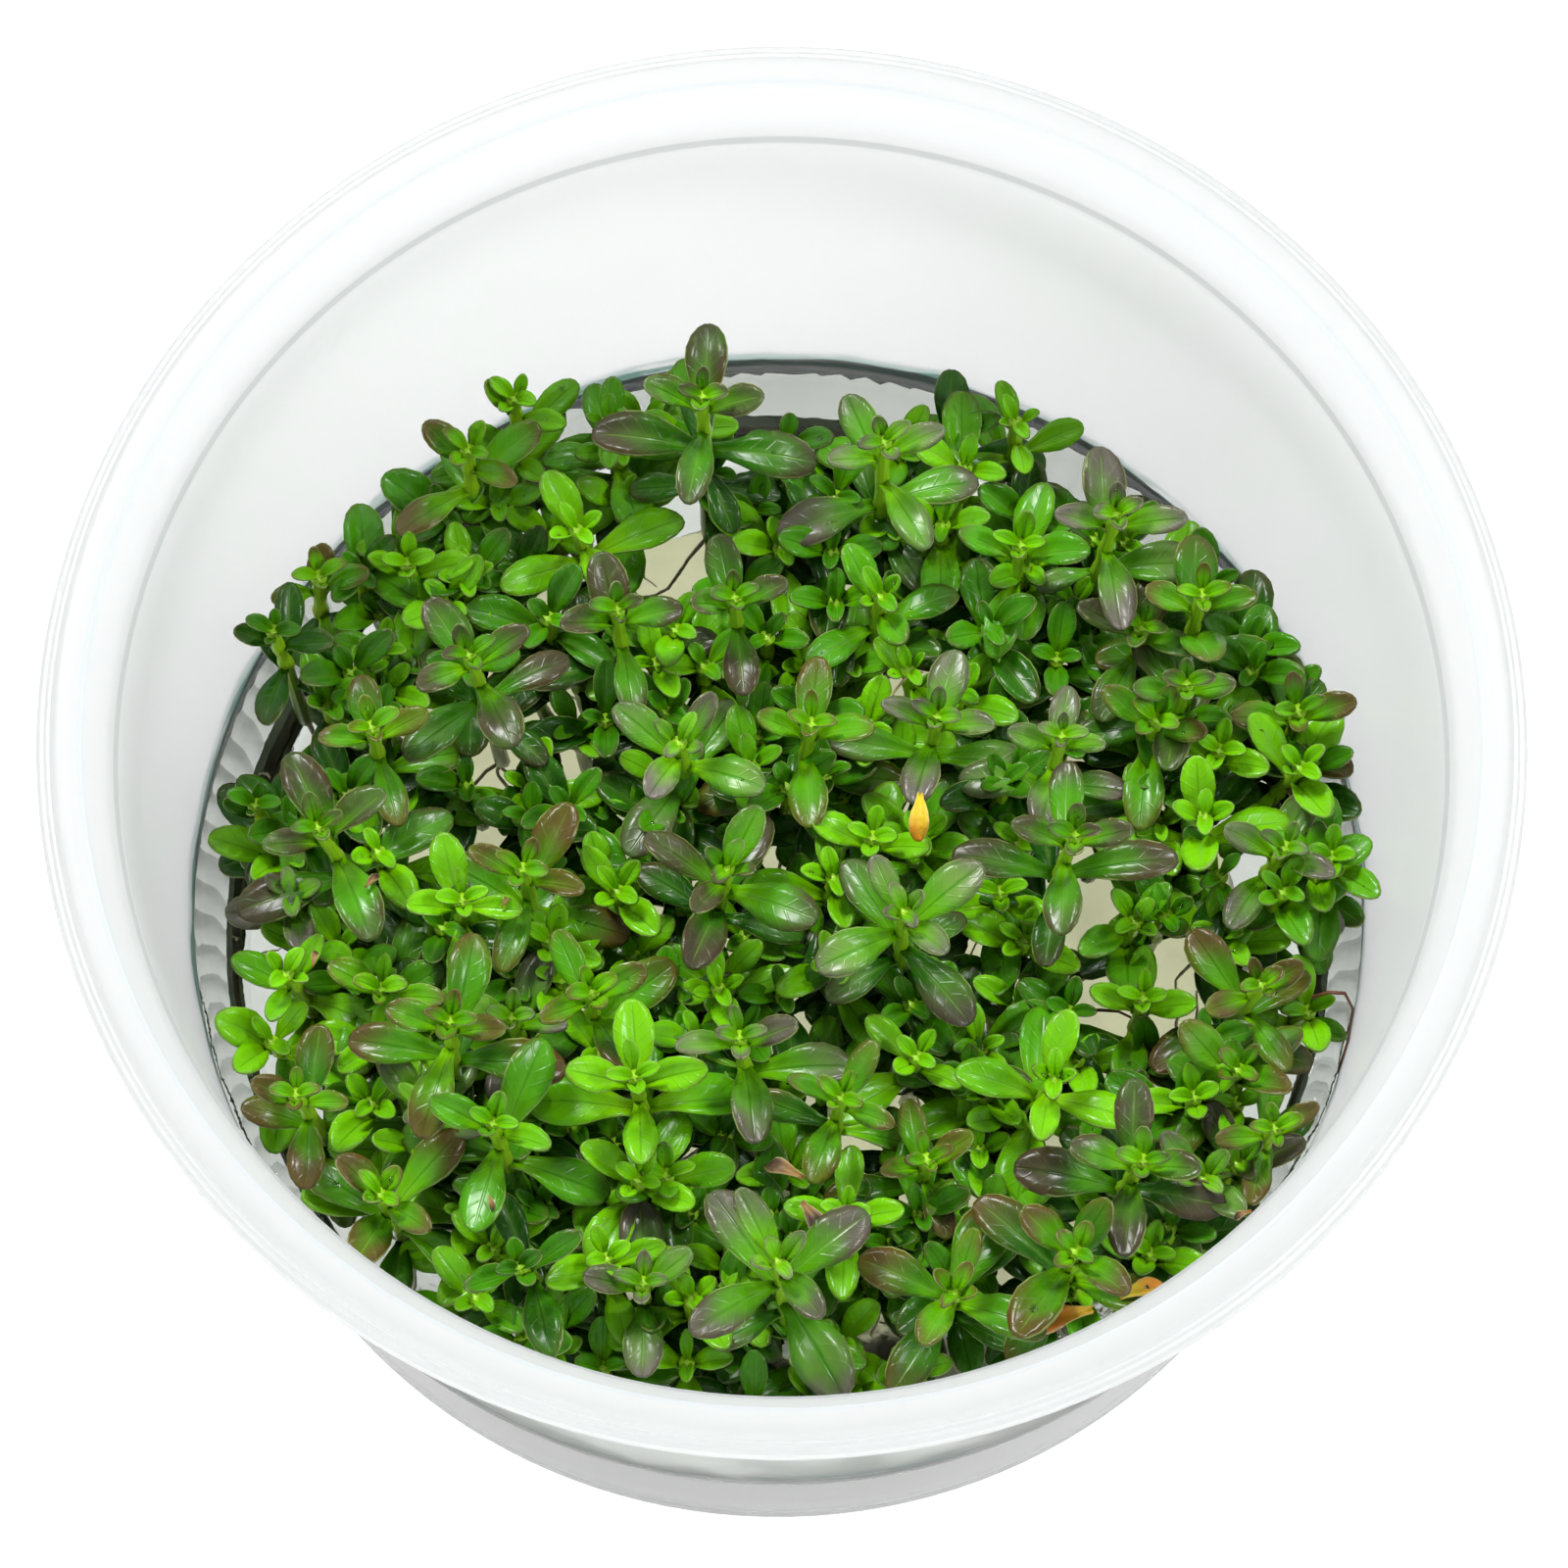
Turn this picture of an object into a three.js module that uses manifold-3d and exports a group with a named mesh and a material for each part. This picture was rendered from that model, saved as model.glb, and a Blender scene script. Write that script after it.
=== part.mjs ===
// An open culture cup of water plants: a dense stand of young rotala shoots rooted in clear gel.
// Millimetres, +Z up. The origin is the middle of the base that the cup stands on.
import * as THREE from 'three';
import { mergeVertices } from 'three/addons/utils/BufferGeometryUtils.js';
import Module from 'manifold-3d';

// The cup: a tapered wall, a small ledge inside the mouth and a rolled rim
const rimRadius = 50;
const rimEdgeHeight = 52.4;
const crestHeight = 53.3;
const crestOuterRadius = 48.9;
const crestInnerRadius = 46.9;
const ledgeRadius = 44.8;
const ledgeHeight = 48.5;
const skirtHeight = 50.8;
const baseRadius = 38.3;
const footChamfer = 0.8;
const wallThickness = 0.8;
const floorThickness = 1;
const cupSides = 40;

// The gel fills the bottom of the cup; each stem stands in a little pocket in it
const gelTop = 16.8;
const clearance = 0.3;
const rootDepth = 2.5;

// Shoots: a square stem with crossed pairs of spoon-shaped leaves
const stemSide = 1;
const nodeHeight = 0.7;
const leafThickness = 0.5;
const fullLeafLength = 5.3;
const leafSlimness = 0.52;
const broadestPoint = 0.62;
const smallestLeaf = 1.4;

// A stem stands a little nearer the middle at its foot than at its tip, and bends as it rises
const stemLean = 0.06;
const leanVariation = 0.03;
const footWander = 1.2;
const footToWall = 2.6;
const stemBend = 1.4;

// How much leaves differ from their pair's plan: shares of length and width, and degrees
const lengthVariation = 0.1;
const widthVariation = 0.14;
const liftVariation = 8;
const swingVariation = 9;
const rollVariation = 12;

// What a leaf may do to make room for its neighbours, the least changed first
const leafTrims = [1, 0.85, 0.7, 0.55];
const leafRaises = [0, 12, -12, 24, -22, 36];
const leafTurns = [0, 14, -14];

// Room kept when leaves are grown: more between shoots than between leaves of one shoot
const kinRoom = 0.15;
const neighbourRoom = clearance + 0.05;
const joinedReach = 1.3 * stemSide;
const stemHalfDepth = 0.75 * stemSide;
const leafHalfSpan = 0.62;
const longestReach = 8;
const edgeSpacing = 1.1;
const innerPointShare = 0.6;
const stemPointSpacing = 1;

// Leaf pairs from the growing tip down: depth below the tip, share of the full leaf length, lift and droop
const leafPairs = [
  { depth: 0.5, share: 0.45, lift: 64, droop: 6 },
  { depth: 2.2, share: 0.84, lift: 42, droop: 12 },
  { depth: 4.8, share: 1.1, lift: 24, droop: 16 },
  { depth: 8.4, share: 1.2, lift: 10, droop: 14 },
];
const tallShootHeight = 14;

// Where each shoot's tip is: x to the right and y to the back of the cup's axis, tall above the gel.
// turn is the heading of the youngest leaf pair in degrees, and leafy scales the shoot's leaves.
const shootRows = {
  back: [
    { x: -32, y: 21, tall: 8, turn: 105, leafy: 0.85 },
    { x: -22, y: 29, tall: 12, turn: 50, leafy: 1 },
    { x: -19, y: 34, tall: 9, turn: 60, leafy: 0.85 },
    { x: -26, y: 22, tall: 8, turn: 90, leafy: 1.1 },
    { x: -14.5, y: 24, tall: 10, turn: 30, leafy: 1.1 },
    { x: -12.5, y: 32, tall: 10, turn: 5, leafy: 0.9 },
    { x: -6, y: 30, tall: 21, turn: 85, leafy: 1.1 },
    { x: -11.5, y: 17, tall: 14, turn: 100, leafy: 1 },
    { x: -3.5, y: 18, tall: 14, turn: 100, leafy: 1 },
    { x: 6.5, y: 28.5, tall: 17, turn: 110, leafy: 1.05 },
    { x: 6.5, y: 19, tall: 12, turn: 30, leafy: 1 },
    { x: 15.5, y: 33, tall: 9, turn: 20, leafy: 0.8 },
    { x: 16, y: 23, tall: 12, turn: 80, leafy: 1.15 },
    { x: 22.5, y: 24, tall: 16, turn: 95, leafy: 1.1 },
    { x: 28.5, y: 19, tall: 14, turn: 90, leafy: 1 },
  ],
  left: [
    { x: -35, y: 15.5, tall: 12, turn: 80, leafy: 0.8 },
    { x: -21.5, y: 12, tall: 18, turn: 120, leafy: 1.05 },
    { x: -28, y: 8, tall: 14, turn: 105, leafy: 0.95 },
    { x: -31.5, y: 0, tall: 16, turn: 115, leafy: 1.15 },
    { x: -36, y: 4, tall: 9, turn: 75, leafy: 0.7 },
    { x: -33.5, y: -8.5, tall: 10, turn: 150, leafy: 0.95 },
    { x: -27, y: -9.5, tall: 10, turn: 80, leafy: 1.15 },
    { x: -21.5, y: -4, tall: 13, turn: 100, leafy: 0.95 },
    { x: -22, y: -15, tall: 20, turn: 75, leafy: 1.15 },
    { x: -32.5, y: -18.5, tall: 14, turn: 85, leafy: 0.9 },
  ],
  middle: [
    { x: 8.5, y: 14.5, tall: 10, turn: 30, leafy: 0.8 },
    { x: -7, y: 7, tall: 15, turn: 150, leafy: 1 },
    { x: 2, y: 9, tall: 14, turn: 90, leafy: 1.05 },
    { x: 10.5, y: 9, tall: 16, turn: 80, leafy: 1 },
    { x: -17.5, y: -2, tall: 14, turn: 70, leafy: 1.05 },
    { x: -3.5, y: -3, tall: 18, turn: 155, leafy: 1.15 },
    { x: 8.5, y: -6.5, tall: 20, turn: 35, leafy: 1.1 },
    { x: 20, y: -1, tall: 21, turn: 90, leafy: 1.15 },
    { x: 19, y: 7.5, tall: 17, turn: 85, leafy: 0.85 },
    { x: -12.5, y: -11, tall: 15, turn: 120, leafy: 1 },
    { x: -18, y: -12, tall: 12, turn: 80, leafy: 1 },
    { x: -4, y: -9, tall: 10, turn: 20, leafy: 0.9 },
    { x: -2.5, y: -14, tall: 15, turn: 100, leafy: 1.05 },
  ],
  right: [
    { x: 27.5, y: 12.5, tall: 14, turn: 95, leafy: 0.95 },
    { x: 29, y: 4, tall: 11, turn: 5, leafy: 1.2 },
    { x: 34.5, y: 1.5, tall: 12, turn: 60, leafy: 1 },
    { x: 35.5, y: 8, tall: 10, turn: 40, leafy: 1.05 },
    { x: 33, y: -9, tall: 14, turn: 120, leafy: 0.95 },
    { x: 25, y: -8.5, tall: 9, turn: 85, leafy: 0.95 },
    { x: 31.5, y: -14.5, tall: 12, turn: 50, leafy: 1.1 },
    { x: 34, y: -19, tall: 13, turn: 100, leafy: 0.85 },
    { x: 19, y: -16.5, tall: 15, turn: 170, leafy: 1.1 },
  ],
  front: [
    { x: -19, y: -21.5, tall: 18, turn: 70, leafy: 1.15 },
    { x: -26.5, y: -25.5, tall: 14, turn: 50, leafy: 1.1 },
    { x: -17, y: -30.5, tall: 14, turn: 110, leafy: 1.05 },
    { x: -9.5, y: -18, tall: 18, turn: 95, leafy: 1.1 },
    { x: 4.5, y: -18.5, tall: 16, turn: 65, leafy: 0.95 },
    { x: 10.5, y: -21.5, tall: 12, turn: 110, leafy: 0.85 },
    { x: 25, y: -23.5, tall: 19, turn: 85, leafy: 1.15 },
    { x: 20.5, y: -30, tall: 19, turn: 55, leafy: 1.15 },
    { x: 12.5, y: -32.5, tall: 17, turn: 155, leafy: 1.1 },
    { x: 0.5, y: -31.5, tall: 20, turn: 30, leafy: 1.3 },
    { x: 5, y: -25.5, tall: 12, turn: 85, leafy: 0.95 },
  ],
};

const wasm = await Module();
wasm.setup();

const degree = Math.PI / 180;
const mergeDistance = 1e-4;
const plastic = { color: 0xeef1f0, roughness: 0.35, metalness: 0 };
const jelly = { color: 0xd9d6bd, roughness: 0.1, metalness: 0 };
const foliage = { color: 0x4f9a1c, roughness: 0.35, metalness: 0 };

// A steady small variation between -1 and 1, different for every shoot and use.
function vary(seed, use) {
  const wave = Math.sin(seed * 12.9898 + use * 78.233) * 43758.5453;
  return 2 * (wave - Math.floor(wave)) - 1;
}

function piece(name, geometry, finish) {
  const mesh = new THREE.Mesh(geometry, new THREE.MeshStandardMaterial(finish));
  mesh.name = name;
  return mesh;
}

// A solid of revolution from [radius, height] points, standing along +Z.
function turned(profile) {
  const points = profile.map(([radius, height]) => new THREE.Vector2(radius, height));
  return new THREE.LatheGeometry(points, cupSides).rotateX(Math.PI / 2);
}

// The radius of the cup's inner wall at a height above the base.
function innerRadius(height) {
  const innerBase = baseRadius - wallThickness;
  const share = (height - floorThickness) / (ledgeHeight - floorThickness);
  return innerBase + (ledgeRadius - innerBase) * share;
}

function cupGeometry() {
  const lip = rimRadius - crestOuterRadius;
  return turned([
    [0, 0],
    [baseRadius - footChamfer, 0],
    [baseRadius, footChamfer],
    [ledgeRadius + wallThickness, ledgeHeight],
    [crestInnerRadius, skirtHeight],
    [rimRadius - lip, skirtHeight],
    [rimRadius, skirtHeight + lip / 2],
    [rimRadius, rimEdgeHeight],
    [crestOuterRadius, crestHeight],
    [crestInnerRadius, crestHeight],
    [ledgeRadius, ledgeHeight],
    [baseRadius - wallThickness, floorThickness],
    [0, floorThickness],
  ]);
}

// A closed mesh with merged vertices and no collapsed triangles, as a solid for cutting.
function toSolid(geometry) {
  const bare = new THREE.BufferGeometry();
  bare.setAttribute('position', geometry.getAttribute('position').clone());
  bare.setIndex(geometry.getIndex());
  const merged = mergeVertices(bare, mergeDistance);
  const corners = merged.getIndex().array;
  const triangles = [];
  for (let i = 0; i < corners.length; i += 3) {
    const [a, b, c] = corners.slice(i, i + 3);
    if (a !== b && b !== c && c !== a) {
      triangles.push(a, b, c);
    }
  }
  const vertProperties = Float32Array.from(merged.getAttribute('position').array);
  const triVerts = Uint32Array.from(triangles);
  return new wasm.Manifold(new wasm.Mesh({ numProp: 3, vertProperties, triVerts }));
}

function fromSolid(solid) {
  const mesh = solid.getMesh();
  const geometry = new THREE.BufferGeometry();
  geometry.setAttribute('position', new THREE.BufferAttribute(mesh.vertProperties, 3));
  geometry.setIndex(new THREE.BufferAttribute(mesh.triVerts, 1));
  return geometry;
}

// A growing mesh: corners are numbered as they are added, and faces wind outwards.
class Skin {
  constructor() {
    this.corners = [];
    this.triangles = [];
  }

  corner(point) {
    this.corners.push(point.x, point.y, point.z);
    return this.corners.length / 3 - 1;
  }

  quad(a, b, c, d) {
    this.triangles.push(a, b, c, a, c, d);
  }

  // The four sides between two rings of four corners, leaving out the side numbers in skipped.
  band(lower, upper, skipped = []) {
    for (let k = 0; k < 4; k += 1) {
      const next = (k + 1) % 4;
      if (!skipped.includes(k)) {
        this.quad(lower[k], lower[next], upper[next], upper[k]);
      }
    }
  }

  // Four triangles that close a ring to one point.
  peak(ring, apex) {
    for (let k = 0; k < 4; k += 1) {
      this.triangles.push(ring[k], ring[(k + 1) % 4], apex);
    }
  }

  geometry() {
    const geometry = new THREE.BufferGeometry();
    geometry.setAttribute('position', new THREE.Float32BufferAttribute(this.corners, 3));
    geometry.setIndex(this.triangles);
    geometry.computeVertexNormals();
    return geometry;
  }
}

// The four corners of a level square; side k of it faces turn + 90 (k + 1) degrees.
function squareRing(centre, side, turn) {
  const reach = side * Math.SQRT1_2;
  return [45, 135, 225, 315].map((corner) => {
    const angle = (turn + corner) * degree;
    return new THREE.Vector3(reach * Math.cos(angle), reach * Math.sin(angle), 0).add(centre);
  });
}

// A shoot's stem leans from its foot in the gel to its tip, more the higher it gets.
function planShoot(place, index) {
  const tip = new THREE.Vector3(place.x, place.y, gelTop + place.tall);
  const lean = stemLean + leanVariation * vary(index, 1);
  const foot = new THREE.Vector3(
    place.x * (1 - lean) + footWander * vary(index, 2),
    place.y * (1 - lean) + footWander * vary(index, 3),
    gelTop - rootDepth,
  );
  const mostOut = innerRadius(gelTop) - footToWall;
  const out = Math.hypot(foot.x, foot.y);
  if (out > mostOut) {
    foot.x *= mostOut / out;
    foot.y *= mostOut / out;
  }
  const count = place.tall >= tallShootHeight ? leafPairs.length : leafPairs.length - 1;
  const pairs = leafPairs.slice(0, count);
  return { index, place, tip, foot, pairs, leaves: [] };
}

// The middle of the stem at a height, on a gentle curve from foot to tip.
function stemPoint(shoot, height) {
  const share = (height - shoot.foot.z) / (shoot.tip.z - shoot.foot.z);
  const point = new THREE.Vector3().lerpVectors(shoot.foot, shoot.tip, share ** stemBend);
  point.z = height;
  return point;
}

// One leaf as a thin plate: from its root on the stem, out to its broadest line, and on to its tip.
function poseLeaf(shoot, pair, face, pose) {
  const heading = (shoot.place.turn + 90 * (face + 1) + pose.swing) * degree;
  const faceWay = (shoot.place.turn + 90 * (face + 1)) * degree;
  const outward = (lift) => new THREE.Vector3(
    Math.cos(lift * degree) * Math.cos(heading),
    Math.cos(lift * degree) * Math.sin(heading),
    Math.sin(lift * degree),
  );
  const root = stemPoint(shoot, shoot.tip.z - pair.depth);
  root.x += stemSide / 2 * Math.cos(faceWay);
  root.y += stemSide / 2 * Math.sin(faceWay);
  const along = outward(pose.lift);
  const level = new THREE.Vector3(-Math.sin(heading), Math.cos(heading), 0);
  const side = level.clone().applyAxisAngle(along, pose.roll * degree);
  const upward = new THREE.Vector3().crossVectors(along, side);
  const broad = root.clone().addScaledVector(along, pose.length * broadestPoint);
  const tipWay = outward(pose.lift - pair.droop);
  const tip = broad.clone().addScaledVector(tipWay, pose.length * (1 - broadestPoint));
  const halfWidth = pose.length * pose.slimness / 2;
  const rootSide = level.clone().multiplyScalar(stemSide / 2);
  return {
    shoot,
    pair,
    face,
    upward,
    root,
    tip,
    rootLeft: root.clone().add(rootSide),
    rootRight: root.clone().sub(rootSide),
    left: broad.clone().addScaledVector(side, halfWidth),
    right: broad.clone().addScaledVector(side, -halfWidth),
  };
}

// Points along both edges of a leaf, close enough together that no other leaf slips between.
function edgePoints(leaf) {
  const points = [];
  const outline = [leaf.rootLeft, leaf.left, leaf.tip, leaf.right, leaf.rootRight];
  for (let i = 1; i < outline.length; i += 1) {
    const [from, to] = [outline[i - 1], outline[i]];
    const steps = Math.ceil(from.distanceTo(to) / edgeSpacing);
    for (let step = 1; step <= steps; step += 1) {
      points.push(new THREE.Vector3().lerpVectors(from, to, step / steps));
    }
  }
  points.push(new THREE.Vector3().addVectors(leaf.left, leaf.right).multiplyScalar(0.5));
  points.push(leaf.root.clone().lerp(points[points.length - 1], innerPointShare));
  return points;
}

function facets(leaf) {
  return [
    new THREE.Triangle(leaf.rootLeft, leaf.rootRight, leaf.right),
    new THREE.Triangle(leaf.rootLeft, leaf.right, leaf.left),
    new THREE.Triangle(leaf.left, leaf.right, leaf.tip),
  ];
}

const nearest = new THREE.Vector3();

function gapTo(points, triangles) {
  let least = Infinity;
  for (const point of points) {
    for (const triangle of triangles) {
      triangle.closestPointToPoint(point, nearest);
      least = Math.min(least, nearest.distanceTo(point));
    }
  }
  return least;
}

// Leaves of one shoot meet at the stem, so only their outer parts have to stay apart.
function outerPoints(leaf, shoot) {
  return leaf.points.filter((point) => {
    const axis = stemPoint(shoot, point.z);
    return Math.hypot(point.x - axis.x, point.y - axis.y) > joinedReach;
  });
}

function leavesClear(leaf, other) {
  const reach = leaf.span + other.span;
  if (leaf.middle.distanceTo(other.middle) > reach) {
    return true;
  }
  const kin = leaf.shoot === other.shoot;
  const ownPoints = kin ? outerPoints(leaf, leaf.shoot) : leaf.points;
  const otherPoints = kin ? outerPoints(other, leaf.shoot) : other.points;
  const needed = leafThickness + (kin ? kinRoom : neighbourRoom);
  return gapTo(ownPoints, other.facets) > needed && gapTo(otherPoints, leaf.facets) > needed;
}

function stemClear(leaf, shoot) {
  const needed = stemHalfDepth + leafThickness / 2 + clearance;
  if (leaf.shoot === shoot) {
    return true;
  }
  if (Math.hypot(leaf.middle.x - shoot.tip.x, leaf.middle.y - shoot.tip.y) > leaf.span + longestReach) {
    return true;
  }
  return gapTo(shoot.stemPoints, leaf.facets) > needed;
}

function insideCup(leaf) {
  const margin = clearance + leafThickness;
  return leaf.points.every((point) => {
    const room = innerRadius(point.z) - margin;
    return Math.hypot(point.x, point.y) < room && point.z > gelTop + margin;
  });
}

// The ways a leaf can make room for its neighbours, the least changed first.
function posesFor(shoot, pair, face) {
  const seed = shoot.index * 16 + face * 4 + leafPairs.indexOf(pair);
  const length = fullLeafLength * pair.share * shoot.place.leafy * (1 + lengthVariation * vary(seed, 5));
  const slimness = leafSlimness * (1 + widthVariation * vary(seed, 6));
  const lift = pair.lift + liftVariation * vary(seed, 7);
  const swing = swingVariation * vary(seed, 8);
  const roll = rollVariation * vary(seed, 9);
  const poses = [];
  for (const trim of leafTrims) {
    for (const raise of leafRaises) {
      for (const aside of leafTurns) {
        poses.push({
          length: length * trim,
          slimness,
          lift: lift + raise,
          swing: swing + aside,
          roll,
        });
      }
    }
  }
  return poses.filter((pose) => pose.length > smallestLeaf);
}

function growLeaf(shoot, pair, face, grown, shoots) {
  for (const pose of posesFor(shoot, pair, face)) {
    const leaf = poseLeaf(shoot, pair, face, pose);
    leaf.points = edgePoints(leaf);
    leaf.facets = facets(leaf);
    leaf.middle = leaf.root.clone().lerp(leaf.tip, 0.5);
    leaf.span = pose.length * leafHalfSpan;
    const fits = insideCup(leaf)
      && shoots.every((other) => stemClear(leaf, other))
      && grown.every((other) => leavesClear(leaf, other));
    if (fits) {
      shoot.leaves.push(leaf);
      grown.push(leaf);
      return;
    }
  }
}

// The young pairs of every shoot grow first, so that the leaves on top keep their shape.
function growAll(shoots) {
  const grown = [];
  const byHeight = [...shoots].sort((a, b) => b.tip.z - a.tip.z);
  leafPairs.forEach((pair, rank) => {
    const faces = rank % 2 === 0 ? [3, 1] : [0, 2];
    for (const shoot of byHeight.filter((one) => one.pairs.includes(pair))) {
      for (const face of faces) {
        growLeaf(shoot, pair, face, grown, shoots);
      }
    }
  });
}

function addLeaf(skin, base, leaf) {
  const thick = leaf.upward.clone().multiplyScalar(leafThickness / 2);
  const broad = [
    leaf.right.clone().sub(thick),
    leaf.left.clone().sub(thick),
    leaf.left.clone().add(thick),
    leaf.right.clone().add(thick),
  ].map((point) => skin.corner(point));
  skin.band(base, broad);
  skin.peak(broad, skin.corner(leaf.tip));
}

function shootGeometry(shoot) {
  const skin = new Skin();
  const { turn } = shoot.place;
  const ringAt = (height) => squareRing(stemPoint(shoot, height), stemSide, turn)
    .map((point) => skin.corner(point));
  let below = ringAt(shoot.foot.z);
  skin.quad(below[3], below[2], below[1], below[0]);
  for (const pair of [...shoot.pairs].reverse()) {
    const middle = shoot.tip.z - pair.depth;
    const lower = ringAt(middle - nodeHeight / 2);
    const upper = ringAt(middle + nodeHeight / 2);
    skin.band(below, lower);
    const leaves = shoot.leaves.filter((leaf) => leaf.pair === pair);
    skin.band(lower, upper, leaves.map((leaf) => leaf.face));
    for (const leaf of leaves) {
      const next = (leaf.face + 1) % 4;
      addLeaf(skin, [lower[leaf.face], lower[next], upper[next], upper[leaf.face]], leaf);
    }
    below = upper;
  }
  skin.peak(below, skin.corner(shoot.tip.clone().setZ(shoot.tip.z + nodeHeight)));
  return skin.geometry();
}

// The pocket in the gel follows the buried end of the stem, with clearance all round.
function rootPocket(shoot) {
  const skin = new Skin();
  const lowestPair = shoot.pairs[shoot.pairs.length - 1];
  const lowestNode = shoot.tip.z - lowestPair.depth - nodeHeight / 2;
  const start = shoot.foot;
  const end = stemPoint(shoot, lowestNode);
  const ringAt = (height) => {
    const share = (height - start.z) / (end.z - start.z);
    const centre = new THREE.Vector3().lerpVectors(start, end, share);
    return squareRing(centre, stemSide + 2 * clearance, shoot.place.turn)
      .map((point) => skin.corner(point));
  };
  const lower = ringAt(start.z - clearance);
  const upper = ringAt(gelTop + clearance);
  skin.quad(lower[3], lower[2], lower[1], lower[0]);
  skin.band(lower, upper);
  skin.quad(upper[0], upper[1], upper[2], upper[3]);
  return toSolid(skin.geometry());
}

function gelGeometry(shoots) {
  const bottom = floorThickness + clearance;
  let gel = toSolid(turned([
    [0, bottom],
    [innerRadius(bottom) - clearance, bottom],
    [innerRadius(gelTop) - clearance, gelTop],
    [0, gelTop],
  ]));
  for (const shoot of shoots) {
    gel = gel.subtract(rootPocket(shoot));
  }
  return fromSolid(gel);
}

const shoots = [];
for (const [row, places] of Object.entries(shootRows)) {
  places.forEach((place, order) => {
    const shoot = planShoot(place, shoots.length);
    shoot.name = `${row}_shoot_${order + 1}`;
    shoots.push(shoot);
  });
}
for (const shoot of shoots) {
  shoot.stemPoints = [];
  for (let height = gelTop; height <= shoot.tip.z; height += stemPointSpacing) {
    shoot.stemPoints.push(stemPoint(shoot, height));
  }
}
growAll(shoots);

const cultureCup = new THREE.Group();
cultureCup.add(piece('cup', cupGeometry(), plastic));
cultureCup.add(piece('gel', gelGeometry(shoots), jelly));
for (const shoot of shoots) {
  cultureCup.add(piece(shoot.name, shootGeometry(shoot), foliage));
}

export default cultureCup;
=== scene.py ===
# %% [markdown]
# # An open culture cup of young rotala
# The object is a translucent plastic cup, a clear gel in the bottom of it, and a dense stand of small
# water plants that root in the gel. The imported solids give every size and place. This script lays the
# fine surfaces over them: thin curved leaves, round stems, a wet gel and a moulded cup.

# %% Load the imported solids
import math
from collections import namedtuple

import bmesh
import bpy
import numpy as np
from mathutils import Matrix, Vector, noise


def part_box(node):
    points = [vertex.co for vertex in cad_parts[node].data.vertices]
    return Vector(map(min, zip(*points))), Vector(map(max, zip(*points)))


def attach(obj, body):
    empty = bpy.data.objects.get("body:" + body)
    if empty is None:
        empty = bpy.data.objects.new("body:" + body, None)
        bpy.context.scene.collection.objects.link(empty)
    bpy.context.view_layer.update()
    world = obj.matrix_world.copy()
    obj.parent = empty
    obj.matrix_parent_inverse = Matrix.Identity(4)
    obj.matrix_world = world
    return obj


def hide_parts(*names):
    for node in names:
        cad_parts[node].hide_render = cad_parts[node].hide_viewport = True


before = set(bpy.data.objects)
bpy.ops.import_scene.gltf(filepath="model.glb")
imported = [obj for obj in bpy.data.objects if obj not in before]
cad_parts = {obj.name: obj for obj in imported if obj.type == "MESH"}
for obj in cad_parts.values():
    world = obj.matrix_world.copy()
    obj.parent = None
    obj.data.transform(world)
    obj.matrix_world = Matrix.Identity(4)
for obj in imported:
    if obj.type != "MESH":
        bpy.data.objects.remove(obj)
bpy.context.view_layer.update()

MM = 0.001
shoot_names = sorted(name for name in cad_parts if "_shoot_" in name)
print("solids:", len(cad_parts), "of which shoots:", len(shoot_names))

# %% [markdown]
# ## Helpers for modelling by hand
# Blender's operators act on whatever is selected, and the solids come in selected. So each new piece
# starts from an empty selection, and the faces to work on are picked in code by where they are.

# %% Selecting and editing
def deselect():
    for thing in bpy.context.selected_objects:
        thing.select_set(False)


def start_edit(piece):
    deselect()
    piece.select_set(True)
    bpy.context.view_layer.objects.active = piece
    bpy.ops.object.mode_set(mode="EDIT")


def end_edit():
    bpy.ops.object.mode_set(mode="OBJECT")


def smooth(mesh):
    mesh.polygons.foreach_set("use_smooth", [True] * len(mesh.polygons))


def pick(piece, test):
    """Select the corners of the piece whose place passes the test, in edit mode."""
    bpy.ops.mesh.select_mode(type="VERT")
    bpy.ops.mesh.select_all(action="DESELECT")
    mesh = bmesh.from_edit_mesh(piece.data)
    for corner in mesh.verts:
        corner.select_set(test(corner.co))
    mesh.select_flush_mode()
    bmesh.update_edit_mesh(piece.data)


# %% [markdown]
# ## One shader language
# Colour rules read best as sums. This small class wraps a socket, so that `mask * 0.4 + 0.1` adds the
# Math nodes by itself, and `1 - mask` works too.

# %% Shader expressions
# A Mix node's colour sockets, by number, because its other sockets have the same names
COLOUR_A = 6
COLOUR_B = 7
MIXED_COLOUR = 2


class Wire:
    def __init__(self, graph, socket):
        self.graph = graph
        self.socket = socket

    def math(self, operation, *values):
        return self.graph.add("ShaderNodeMath", {"operation": operation}, dict(enumerate((self,) + values)))

    def __add__(self, other):
        return self.math("ADD", other)

    def __sub__(self, other):
        return self.math("SUBTRACT", other)

    def __rsub__(self, other):
        return (self * -1) + other

    def __mul__(self, other):
        return self.math("MULTIPLY", other)

    def __pow__(self, other):
        return self.math("POWER", other)

    __radd__ = __add__
    __rmul__ = __mul__

    def rise(self, low, high):
        """0 below low, 1 above high, and a smooth step between."""
        settings = {"interpolation_type": "SMOOTHSTEP"}
        inputs = {"Value": self, "From Min": low, "From Max": high}
        return self.graph.add("ShaderNodeMapRange", settings, inputs)


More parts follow.
